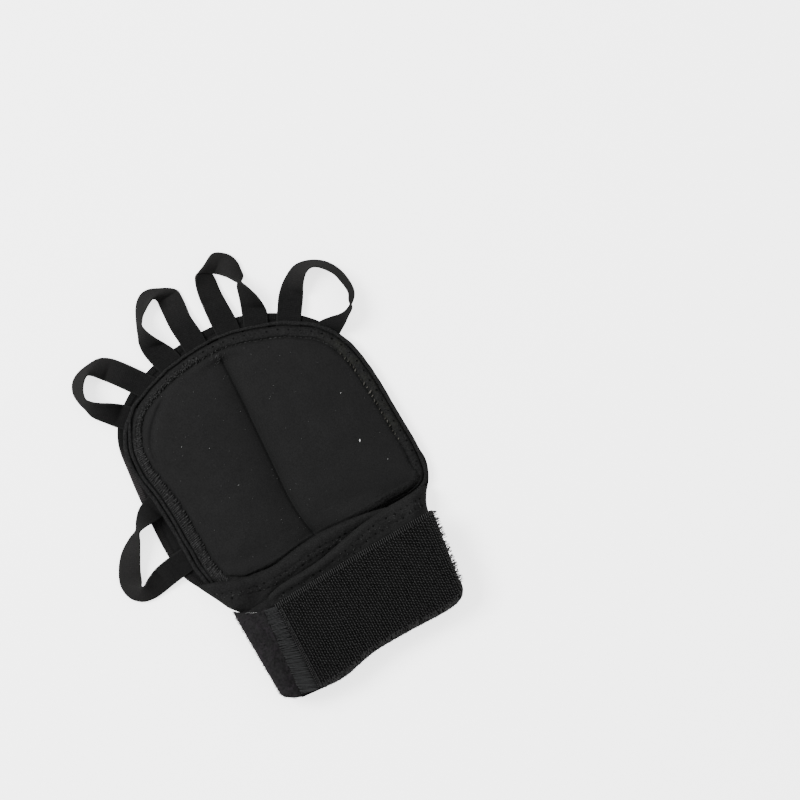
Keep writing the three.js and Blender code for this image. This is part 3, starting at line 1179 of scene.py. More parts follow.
@dataclass(frozen=True)
class HemKnit(Knit):
    """Knit whose turned hem shows fine ribs, lit along a stretch of its edge by a painted
    highlight.

    Attributes:
        rim: Colour of the painted highlight on the ribs' crests.
        painted_highlight_from: Y from which the ribs carry the painted highlight, in millimetres.
        painted_highlight_to: Y up to which they carry it, in millimetres.
    """

    hem: float = 3.0
    rib: float = 0.84
    rim: Colour = (0.02, 0.02, 0.02)
    painted_highlight_from: float = 10.0
    painted_highlight_to: float = 40.0

    def build(self, shader: Shader) -> Material:
        """Puts the nodes together.

        Args:
            shader: The material in the making.

        Returns:
            The material.
        """
        share, relief = self.weave(shader)
        inside = shader.axis(shader.on_cloth, "Y")
        in_hem = shader.span(inside, (self.hem + 0.5) * MM, (self.hem - 0.5) * MM)
        crest = shader.times(shader.ribs(shader.on_cloth, "X", self.rib), in_hem)
        # Painted highlight: the hem's rib crests are lightened between two places along Y, where
        # the rim catches the light.
        along = shader.axis(shader.on_object, "Y")
        below = shader.span(along, self.painted_highlight_to * MM, (self.painted_highlight_to - 8) * MM)
        above = shader.span(along, self.painted_highlight_from * MM, (self.painted_highlight_from + 10) * MM, 0.15, 1.0)
        wear_and_painted_light = shader.times(below, above)
        lit = shader.times(shader.weigh((crest, 0.8), (in_hem, 0.2)), wear_and_painted_light)
        colour = shader.blend(lit, self.dyed(shader, share), self.rim)
        return self.close(shader, share, colour, shader.bump(crest, 0.16, relief))


@dataclass(frozen=True)
class Webbing(Finish):
    """Elastic tape: fine cross ribs, darkened towards its sewn ends by painted shade, so its crest
    is paler.

    Attributes:
        root: Length at each end that painted shade darkens, in millimetres.
        pale: Colour of the crest, painted light beside the shaded ends.
    """

    width: float = 10.4
    pitch: float = 0.8
    length: float = 100.0
    root: float = 14.0
    pale: Colour = (0.02, 0.02, 0.02)

    def build(self, shader: Shader) -> Material:
        """Puts the nodes together.

        Args:
            shader: The material in the making.

        Returns:
            The material.
        """
        where = shader.on_cloth
        half = self.width * MM / 2
        across = shader.calc("ABSOLUTE", shader.calc("SUBTRACT", shader.axis(where, "X"), half))
        ribs = shader.ribs(where, "Y", self.pitch)
        cords = shader.ribs(where, "X", self.width / 13)
        edge = shader.span(across, half * 0.86, half * 0.94)
        grain = shader.noise(shader.on_object, 0.6, 3.0)
        weave = shader.weigh((ribs, 0.65), (cords, 0.35))
        tone = shader.weigh((grain, 0.7), (weave, 0.16), (edge, 0.34))
        share = shader.span(tone, 0.3, 0.72)
        # Painted shade: the tape darkens over its last stretch towards each sewn end, where the
        # pad shades it; the crest keeps the pale colour.
        middle = self.length * MM / 2
        away = shader.calc("ABSOLUTE", shader.calc("SUBTRACT", shader.axis(where, "Y"), middle))
        full = self.length / 2 - self.root
        wear_and_painted_light = shader.span(away, full * MM, (full - 14) * MM)
        wear_and_painted_light = shader.times(wear_and_painted_light, shader.span(share, 0, 1, 0.5, 1.0))
        colour = shader.blend(wear_and_painted_light, self.dyed(shader, share), self.pale)
        return self.close(shader, share, colour, shader.bump(weave, 0.06))


@dataclass(frozen=True)
class Pile(Finish):
    """Brushed loops: a soft tufted face whose dye leans to purple in patches."""

    tuft: float = 0.9
    relief: float = 0.5
    purple: Colour = (0.02, 0.018, 0.021)
    patch: float = 6.0

    def build(self, shader: Shader) -> Material:
        """Puts the nodes together.

        Args:
            shader: The material in the making.

        Returns:
            The material.
        """
        where = shader.on_object
        tufts = shader.noise(where, self.tuft, 4.0)
        coarse = shader.noise(where, self.tuft * 4, 3.0)
        share = shader.span(shader.weigh((tufts, 0.65), (coarse, 0.35)), 0.38, 0.62)
        lean = shader.span(shader.noise(where, self.patch, 2.0), 0.42, 0.6)
        tinted = shader.times(lean, share)
        colour = shader.blend(tinted, self.dyed(shader, share), self.purple)
        relief = shader.bump(tufts, self.relief, shader.bump(coarse, self.relief * 0.8))
        return self.close(shader, share, colour, relief)


@dataclass(frozen=True)
class Yarn(Finish):
    """Sewing thread and moulded nylon: short uneven glints.

    Attributes:
        glint: Length of a glint, in millimetres.
    """

    glint: float = 0.7

    def build(self, shader: Shader) -> Material:
        """Puts the nodes together.

        Args:
            shader: The material in the making.

        Returns:
            The material.
        """
        spots = shader.noise(shader.on_object, self.glint, 3.0)
        share = shader.span(spots, 0.36, 0.64)
        return self.close(shader, share, self.dyed(shader, share), shader.bump(spots, 0.06))


# The panel's hem carries a painted highlight in rim's colour.
PANEL_FINISH = HemKnit(
    "neoprene_knit", black(0.0050), black(0.0086), rim=black(0.026, 0.03, -0.03), lump=0.2
)
FLAP_FINISH = Knit("cuff_neoprene_knit", black(0.0056), black(0.0120), lump=0.4, lump_size=2.2)
PAD_FINISH = PadKnit(
    "pad_stretch_knit",
    black(0.0070),
    black(0.0112),
    wear_and_painted_light=black(0.0128, 0.06, 0.05),
    grain=black(0.0138),
)
PIPING_FINISH = Yarn("piping_binding", black(0.0058), black(0.0130), glint=0.6)
PILE_FINISH = Pile(
    "brushed_loop_pile", black(0.009), black(0.013, 0, -0.02), purple=black(0.014, 0, -0.1)
)
PILE_HAIR = Yarn("loop_pile_hair", black(0.008), black(0.016, 0, -0.06))
HOOK_GROUND = Pile("hook_tape_ground", black(0.0024), black(0.0052), purple=black(0.005))
HOOK_FINISH = Yarn("hook_nylon", black(0.010), black(0.019), rough=0.5, gloss=0.1, sheen=0.0)
SELVAGE_FINISH = Yarn("selvage_yarn", black(0.015), black(0.030))
SEAM_THREAD = Yarn("seam_thread", black(0.010), black(0.030))
STITCH_THREAD = Yarn("hem_thread", black(0.009), black(0.024), glint=1.2)
WORN_THREAD = Yarn(
    "worn_seam_thread", black(0.013, 0.08, 0.02), black(0.046, 0.07, 0.02), glint=2.4
)
SATIN_THREAD = Yarn("satin_thread", black(0.016, -0.015), black(0.0255, -0.015), glint=0.35)
# Painted shade: the needle holes are dyed darker than the cloth round them, for the shade inside
# each hole.
HOLE_FINISH = Finish("needle_hole", black(0.0022), black(0.0040), sheen=0.0)
HEM_HOLE_FINISH = Finish("hem_needle_hole", black(0.0028), black(0.0050))
LINT_FINISH = Finish("pale_lint", black(0.35), black(0.7), sheen=0.0)
DUST_FINISH = Finish("grey_dust", black(0.018), black(0.07), sheen=0.0)


def panel_underside(y: Array | float) -> Array | float:
    """Height of the back panel's underside, lifted over the strap that passes below."""
    step_from, step_to = -39.0, -44.8
    return CUFF_LIFT * smooth((y - step_from) / (step_to - step_from))


def strap_sag(y: Array | float) -> Array | float:
    """How far the strap's front run sags past the end of the cuff."""
    start, end, deep = -66.0, -90.0, 2.5
    return deep * smooth((start - y) / (start - end))


@dataclass
class BackPanel:
    """The neoprene base with its hemmed rim.

    Attributes:
        sections: The outline, from the wrist end to the fingers.
        roll: Radius of the rim's rounded edge.
        sunk: How deep the hem's stitch line lies.
    """

    sections: tuple[PanelRow, ...] = rows_of(
        PanelRow,
        (-66.0, -32.6, 52.4), (-58.0, -32.7, 53.2), (-48.5, -32.9, 54.0), (-44.6, -34.2, 55.2),
        (-42.4, -38.0, 56.4), (-36.5, -41.4, 61.2), (-29.0, -45.3, 64.1), (-21.0, -49.0, 63.7),
        (-11.0, -50.2, 63.6), (10.0, -49.2, 63.5), (28.0, -47.2, 61.4), (41.0, -44.9, 56.0),
        (49.4, -39.9, 49.1), (57.2, -30.0, 37.6), (62.4, -15.5, 25.5), (64.4, -1.0, 12.0),
    )
    roll: float = 1.0
    hem: float = 3.4
    sunk: float = 0.45
    width: float = 115.0
    length: float = 131.0

    def half(self, depth: Array) -> Array:
        """Half thickness at a depth inside: a rounded rim, then a stitched-down hem.

        Args:
            depth: Depth of each place.

        Returns:
            The half thickness there.
        """
        part = np.clip(depth / self.roll, 0, 1)
        rounded = np.sqrt(1 - (1 - part) ** 2)
        return NEOPRENE / 2 * rounded - self.sunk * hump(depth - self.hem, 0.5)

    def face(self, outline: Outline, name: str, upward: float) -> Piece:
        """Makes the upper or the lower face.

        Args:
            outline: The panel's outline.
            name: The object's name.
            upward: 1 for the upper face and -1 for the lower one.

        Returns:
            The open face.
        """
        item, across, along = add_grid(name, 150, 170)
        y = outline.rows(along)
        left, right = outline.sides(y)
        share = 0.35 * across + 0.65 * (0.5 - 0.5 * np.cos(math.pi * across))
        x = left + (right - left) * share
        depth, round_share = outline.nearest(x, y)
        depth[(np.abs(across - 0.5) > RIM) | (np.abs(along - 0.5) > RIM)] = 0
        waves = Ripple(11.0, 0.06, 4)(x, y) * smooth(depth / 2) * max(upward, 0.0)
        z = NEOPRENE / 2 + panel_underside(y) + upward * self.half(depth) + waves
        move_points(item, metres(x, y, z))
        lay_uv(item, round_share * outline.length, depth)
        return item

    def build(self) -> list[Piece]:
        """Builds the panel.

        Returns:
            The panel.
        """
        outline = Outline.of(self.sections)
        upper = self.face(outline, "glove_back_panel", 1.0)
        lower = self.face(outline, "glove_back_panel_under", -1.0)
        pick(upper, lower)
        bpy.ops.object.join()
        close_seams(upper, 70, 0.004)
        piece = hand_in(upper, Slot.NEOPRENE, PANEL_FINISH, "back_panel")
        flat, area = (self.width * MM, self.length * MM), outline.area * MM**2
        return [piece]


@dataclass
class WeightPad:
    """The puffy pouch: two lobes with a sewn groove, and a flat sewn border.

    Attributes:
        sections: Middle line of the piping, which the pad lies inside.
        borders: How wide the sewn border is, from the outer wrist side round to the thumb.
        fold: Where a soft fold crosses the lobe beside the thumb.
        pressed_by: The hem of the flap that presses on the pad.
        edge: Height of the pouch at its rounded edge.
        border: Height of the sewn border.
        crown: Height of the lobes.
        roll: Width over which a lobe rises.
        columns, rows: How many faces each lobe has across, and the pad along.
    """

    sections: tuple[PanelRow, ...] = rows_of(
        PanelRow,
        (-37.6, -20.0, 30.0), (-37.2, -30.0, 46.0), (-35.6, -35.6, 56.0), (-31.4, -39.2, 60.7),
        (-24.0, -41.2, 62.3), (-10.0, -41.5, 62.3), (10.0, -41.8, 62.1), (25.0, -43.4, 60.6),
        (36.0, -42.2, 56.4), (45.8, -36.8, 47.9), (52.8, -29.2, 37.2), (57.9, -16.0, 24.5),
        (60.2, -1.0, 13.0),
    )
    groove: tuple[LineRow, ...] = rows_of(
        LineRow,
        (-40.0, 9.6), (-27.0, 7.0), (-16.0, 6.4), (5.0, 7.9), (30.0, 9.8), (50.0, 10.8),
        (62.0, 10.8),
    )
    borders: tuple[BorderRow, ...] = rows_of(
        BorderRow,
        (-8.0, -37.6, 0.9), (30.0, -37.0, 0.8), (50.0, -37.4, 0.9), (57.5, -34.0, 1.8),
        (61.0, -28.0, 4.2), (61.6, -14.0, 4.3), (60.8, 13.6, 4.7), (54.5, 37.0, 4.9),
        (30.5, 54.5, 4.8), (4.0, 58.8, 4.2), (-26.0, 53.5, 4.0), (-41.5, 30.0, 4.8),
        (-40.2, 0.0, 5.7), (-38.0, -31.4, 5.3), (-20.0, -37.0, 3.0),
    )
    fold: tuple[LineRow, ...] = rows_of(
        LineRow,
        (20.0, -33.2), (26.0, -33.6), (30.9, -33.7), (34.8, -32.1), (39.0, -29.3),
        (43.9, -24.2), (47.2, -19.9), (52.0, -14.0),
    )
    pressed_by: tuple[HemRow, ...] = ()
    piping_radius: float = 1.1
    edge: float = 2.3
    border: float = 3.5
    crown: float = 8.3
    roll: float = 19.0
    columns: int = 64
    rows: int = 136

    def __post_init__(self) -> None:
        """Works out the lines that the sewing follows."""
        self.seam = Outline.of(self.sections)
        x, y = self.seam.points.T
        lean = self.lean(x, y)
        inset = self.piping_radius + GAP - np.where(lean > 0, 1.6, 0.8) * lean - self.tuck(x, y)
        self.outline = Outline(self.seam.points + self.seam.normals * inset[:, None])
        self.channel = Track.of(self.groove, "y", "x")
        self.crossing = Track.of(self.fold, "y", "x")
        self.hem = Track.of(self.pressed_by, "x", "edge")
        shares = np.array([self.outline.share_near(row.x, row.y) for row in self.borders])
        order = np.argsort(shares)
        places, widths = shares[order], np.array([row.width for row in self.borders])[order]
        places = np.concatenate([places[-1:] - 1, places, places[:1] + 1])
        self.border_width = Track(places, np.concatenate([widths[-1:], widths, widths[:1]]))

    @staticmethod
    def lean(x: Array, y: Array) -> Array:
        """How far the edge stands out at the outer side, and in at the top."""
        return 0.9 * smooth((x - 40) / 15) * smooth((50 - y) / 8) - 1.0 * smooth((y - 50) / 6)

    @staticmethod
    def tuck(x: Array, y: Array) -> Array:
        """How far the wrist side is tucked in under the cuff."""
        return 1.6 * smooth((-29 - y) / 6) * smooth((x + 34) / 8)

    @staticmethod
    def by_thumb(x: Array, y: Array) -> Array:
        """1 beside the thumb, where a second ridge runs, and 0 elsewhere."""
        return smooth((-20.0 - x) / 8.0) * smooth((50.0 - y) / 6.0)

    def height(self, x: Array, y: Array) -> Array:
        """Height of the pouch over its base, before it is sewn down.

        Args:
            x: X of each place.
            y: Y of each place.

        Returns:
            The height there.
        """
        depth, share = self.outline.nearest(x, y)
        lobe = depth - self.border_width(share)
        part = np.clip(depth / 1.3, 0, 1)
        shoulder = np.sqrt(1 - (1 - part) ** 2)
        crown = np.sin(math.pi / 2 * np.clip(lobe / self.roll, 0, 1)) ** 0.75
        rise = (self.border - self.edge) * smooth(depth / 3.0)
        return self.edge * shoulder + rise + (self.crown - self.border) * crown

    def sewn(self, x: Array, y: Array, depth: Array, share: Array) -> Array:
        """How far the sewing and the ridges move the cover.

        Args:
            x: X of each place.
            y: Y of each place.
            depth: Its depth inside the outline.
            share: Its share of the way round the outline.

        Returns:
            The move upwards.
        """
        lobe = depth - self.border_width(share)
        beside = x - self.channel(y)
        reach = smooth((lobe - 0.5) / 5.0)
        flank = np.where(beside < 0, 8.0, 3.6)
        crease = 0.55 * hump(beside, 0.8) + 5.2 * np.exp(-np.hypot(beside, 0.4) / flank)
        seam_line = 0.7 * hump(lobe, 0.5) + 0.3 * hump(lobe, 1.7)
        thumb = self.by_thumb(x, y)
        valley = 0.5 * thumb * hump(depth - 1.95, 0.45)
        slope = self.crossing(y + 0.5) - self.crossing(y - 0.5)
        fold = 1.1 * hump((x - self.crossing(y)) / np.hypot(slope, 1.0), 1.1)
        fold = fold * smooth((y - 23) / 6) * smooth((50 - y) / 4)
        beyond = y - self.hem(x)
        middle = hump(x - 5, 13.0)
        full = (1.8 - 1.5 * middle) * smooth((beyond + 2.2) / 1.5)
        press = (0.3 + 1.1 * middle) * hump(beyond - 0.2, 0.7) - full * smooth((9 - beyond) / 8)
        lumps = (Ripple(2.6, 0.16, 12)(x, y) + Ripple(1.1, 0.09, 13)(x, y)) * smooth(1.0 - lobe)
        swell = Ripple(17.0, 0.16, 7)(x, y) * smooth(lobe / 4.0)
        sunk = crease * reach + seam_line + valley + fold + press * smooth((43 - x) / 6)
        return (lumps + swell) * smooth(depth / 1.5) - sunk

    def cover(self) -> Piece:
        """Makes the cover with its grid lines drawn along the groove.

        Returns:
            The open cover.
        """
        item, across, along = add_grid("glove_weight_pad", 2 * self.columns, self.rows)
        y = self.outline.rows(along)
        left, right = self.outline.sides(y)
        middle = np.clip(self.channel(y), left + 1, right - 1)
        away = np.abs(across - 0.5) * 2
        share = 0.42 * away + 0.58 * away * away * (3 - 2 * away)
        x = middle + (np.where(across < 0.5, left, right) - middle) * share
        z = self.height(x, y)
        z[(away > 2 * RIM) | (np.abs(along - 0.5) > RIM)] = 0
        move_points(item, metres(x, y, PAD_BASE + z))
        return item

    def build(self) -> list[Piece]:
        """Builds the pad: a cover that is stuffed by simulation, then sewn down.

        Returns:
            The pad.
        """
        item = self.cover()
        self.stuff(item)
        self.even_out(item)
        finer = {"levels": 1, "render_levels": 1, "boundary_smooth": "PRESERVE_CORNERS"}
        modify(item, "SUBSURF", **finer)
        fine = millimetres(mesh_points(item))
        x, y = fine[:, 0], fine[:, 1]
        depth, share = self.outline.nearest(x, y)
        fine[:, 2] = np.maximum(fine[:, 2] + self.sewn(x, y, depth, share), PAD_BASE)
        move_points(item, metres(fine))
        lay_uv(item, share * self.outline.length, depth)
        close_base(item)
        soften(item, 75)
        piece = hand_in(item, Slot.PAD_KNIT, PAD_FINISH, "weight_pad")
        return [piece]

    def even_out(self, item: Piece) -> None:
        """Evens out the lobes, so that no crease runs in from a corner.

        Args:
            item: The cover.
        """
        places = millimetres(mesh_points(item))
        depth, share = self.outline.nearest(places[:, 0], places[:, 1])
        inner = np.nonzero(depth > self.border_width(share) + 1.5)[0]
        group = item.vertex_groups.new(name="lobes")
        group.add([int(index) for index in inner], 1.0, "REPLACE")
        settings = {"factor": 0.5, "iterations": 24, "use_x": False, "use_y": False}
        modify(item, "SMOOTH", vertex_group="lobes", **settings)
        item.vertex_groups.clear()

    def stuff(self, item: Piece) -> None:
        """Stuffs the cover: cloth held at its border and its groove, with pressure inside.

        Args:
            item: The cover.
        """
        most = 1.8
        rest = mesh_points(item)
        places = millimetres(rest)
        depth, share = self.outline.nearest(places[:, 0], places[:, 1])
        beside = np.abs(places[:, 0] - self.channel(places[:, 1]))
        held = (depth < self.border_width(share) + 0.4) | (beside < 1.3)
        group = item.vertex_groups.new(name="held")
        group.add([int(index) for index in np.nonzero(held)[0]], 1.0, "REPLACE")
        pick(item)
        bpy.ops.object.modifier_add(type="CLOTH")
        cloth = item.modifiers[-1]
        cloth.settings.quality = 6
        cloth.settings.mass = 0.2
        cloth.settings.tension_stiffness = 15
        cloth.settings.bending_stiffness = 0.5
        cloth.settings.vertex_group_mass = group.name
        cloth.settings.use_pressure = True
        cloth.settings.uniform_pressure_force = 4.0
        cloth.settings.effector_weights.gravity = 0.0
        cloth.collision_settings.use_collision = False
        scene = bpy.context.scene
        for number in range(1, 21):
            scene.frame_set(number)
        pick(item)
        bpy.ops.object.modifier_apply(modifier=cloth.name)
        scene.frame_set(1)
        item.vertex_groups.clear()
        move = mesh_points(item) - rest
        log.info("stuffing moved the cover by %.2f mm", np.abs(move).max() / MM)
        move_points(item, rest + np.clip(move, -most * MM, most * MM))


@dataclass
class Piping:
    """The bound ridge round the pad, and the second ridge inside it beside the thumb.

    Attributes:
        tapes: The loops, whose ends pass under it.
        radius: Half of the ridge's width.
        thicker: How much thicker it is beside the thumb.
        outward: How far it stands outwards beside the thumb.
        inner_inside: How far inside the seam the second ridge runs.
    """

    pad: WeightPad
    tapes: Sequence[TapeLoop]
    radius: float = 0.85
    thicker: float = 0.15
    outward: float = 1.15
    inner_radius: float = 0.85
    inner_inside: float = 0.9

    def clearance(self, path: Array) -> Array:
        """The lowest height that clears the tapes at each place.

        Args:
            path: The places, as rows of X and Y.

        Returns:
            The height there.
        """
        lowest = np.full(len(path), PAD_BASE)
        for tape in self.tapes:
            lowest = np.where(tape.cover(path), TAPE_TOP + 0.2, lowest)
        return lowest

    def outer(self) -> Piece:
        """Builds the ridge from a ring that is moved onto the seam.

        Returns:
            The ridge.
        """
        deselect()
        ring = 0.25
        bpy.ops.mesh.primitive_torus_add(
            major_segments=800, minor_segments=16, major_radius=1.0, minor_radius=ring
        )
        item = name_added("glove_edge_piping")
        flat = mesh_points(item)
        share = np.arctan2(flat[:, 1], flat[:, 0]) / (2 * math.pi) % 1.0
        out = (np.hypot(flat[:, 0], flat[:, 1]) - 1.0) / ring
        up = flat[:, 2] / ring
        middle = self.pad.seam.at(share, 0.0)
        x, y = middle[:, 0], middle[:, 1]
        beside = self.pad.by_thumb(x, y) * smooth((y + 38) / 8)
        thick = self.radius + self.thicker * beside - 0.2 * smooth((y - 50) / 6)
        outward = self.outward * beside + self.pad.lean(x, y) + self.pad.tuck(x, y)
        inside = Ripple(7.0, 0.10, 21)(x, y) - outward - out * thick
        path = self.pad.seam.at(share, inside)
        z = PAD_BASE + 0.35 + Ripple(6.0, 0.10, 22)(x, y) + thick * (1 + up)
        z = np.maximum(z, self.clearance(path) + 0.35 * (1 + up))
        move_points(item, metres(path, z))
        close_seams(item, 80)
        return hand_in(item, Slot.PIPING, PIPING_FINISH, "edge_piping")

    def inner(self) -> Piece:
        """Builds the second ridge from a rod whose ends run in under the first.

        Returns:
            The ridge.
        """
        seam = self.pad.seam
        first, last = seam.share_near(-33.5, 49.5), seam.share_near(-35.5, -35.5)
        item = add_rod("glove_inner_piping", 14, 260)
        flat = mesh_points(item)
        along = flat[:, 2] + 0.5
        share = first + (last - first) % 1.0 * along
        free = smooth(along * 8) * smooth((1 - along) * 8)
        thick = self.inner_radius * (0.5 + 0.5 * free)
        out, up = flat[:, 0] * 2, flat[:, 1] * 2
        middle = seam.at(share, 0.0)
        wander = Ripple(8.0, 0.08, 24)(middle[:, 0], middle[:, 1])
        path = seam.at(share, (self.inner_inside + wander) * free - out * thick)
        z = TAPE_TOP + 0.05 + Ripple(6.0, 0.08, 25)(middle[:, 0], middle[:, 1]) + thick * (1 + up)
        move_points(item, metres(path, z))
        close_seams(item, 80)
        return hand_in(item, Slot.PIPING, PIPING_FINISH)

    def build(self) -> list[Piece]:
        """Builds both ridges."""
        return [self.outer(), self.inner()]


@dataclass
class TapeLoop:
    """An elastic tape loop for a finger, sewn in under the pad's edge.

    Attributes:
        name: The CAD node's name.
        rows: Its sections, from one sewn end to the other.
        level: Length at each end that stays at the panel's height.
        drop: Length in which it comes down to the ground.
        rest: Height that it keeps over the ground.
        tooth: Depth of the teeth along its edges.
        pitch: Distance between teeth.
        blur: How many samples of its height are smoothed together, to each side.
    """

    name: str
    rows: tuple[TapeRow, ...]
    width: float = 10.4
    level: float = 12.0
    drop: float = 14.0
    rest: float = 0.2
    tooth: float = 0.14
    pitch: float = 0.8
    blur: int = 18

    def __post_init__(self) -> None:
        """Samples the tape's two edges and how high one stands over the other.

        Where the edges look closer together than the tape is wide, the tape stands on edge.
        """
        steps = np.linspace(0, len(self.rows) - 1, 900)
        edges = curve_points(np.array(self.rows), steps)
        wide = np.linalg.norm(edges[:, 2:] - edges[:, :2], axis=1)
        stand = np.sqrt(np.maximum(self.width**2 - (1.03 * wide) ** 2, 0.0))
        window = np.hanning(2 * self.blur + 1)
        stand = np.convolve(np.pad(stand, self.blur, "edge"), window / window.sum(), "valid")
        line = np.column_stack([(edges[:, :2] + edges[:, 2:]) / 2, stand / 2])
        lengths = np.linalg.norm(np.diff(line, axis=0), axis=1)
        run = np.concatenate([[0], np.cumsum(lengths)])
        self.length = float(run[-1])
        self.edges = [Track(run, column) for column in edges.T]
        self.stand = Track(run, stand)
        self.sewn = line[(run < self.level) | (run > self.length - self.level), :2]

    def cover(self, path: Array) -> Array:
        """Whether each place lies over one of the tape's sewn ends."""
        away = np.hypot(path[:, :1] - self.sewn[:, 0], path[:, 1:2] - self.sewn[:, 1])
        return away.min(1) < self.width / 2 + 0.5

    def shape(self, across: Array, share: Array) -> Array:
        """The middle of the tape at shares across and along.

        Args:
            across: Shares across the tape.
            share: Shares along the tape.

        Returns:
            The points, one row each.
        """
        run = share * self.length
        low_x, low_y, high_x, high_y = (edge(run) for edge in self.edges)
        low, high = np.column_stack([low_x, low_y]), np.column_stack([high_x, high_y])
        lying = np.minimum(np.linalg.norm(high - low, axis=1) / self.width, 1.0)
        teeth = self.tooth * np.abs(np.sin(math.pi * run / self.pitch))
        reach = (across - 0.5) * (1 - 2 * teeth / self.width)
        to_end = np.minimum(run, self.length - run)
        fall = smooth((to_end - self.level) / self.drop)
        lowest = (PANEL_TOP + GAP) * (1 - fall) + self.rest * fall
        cup = 0.3 * fall * (1 - (across * 2 - 1) ** 2) * lying
        flat = (low + high) / 2 + (high - low) * reach[:, None]
        height = lowest + ELASTIC / 2 * lying + cup + self.stand(run) * (0.5 + reach)
        return np.column_stack([flat, height])

    def build(self) -> list[Piece]:
        """Builds the loop.

        Returns:
            The loop.
        """
        wall = Wall("glove_" + self.name, self.width, self.length, ELASTIC, 0.8, self.pitch / 4)
        item = wall.make(self.shape)
        # The webbing's dark ends are painted shade and its pale crest is painted light.
        finish = Webbing(
            self.name + "_webbing",
            black(0.0048),
            black(0.0088),
            width=self.width,
            length=self.length,
            pitch=self.pitch,
            pale=black(0.0120, 0.02),
        )
        piece = hand_in(item, Slot.ELASTIC, finish, self.name)
        flat = (self.width * MM, self.length * MM)
        return [piece]


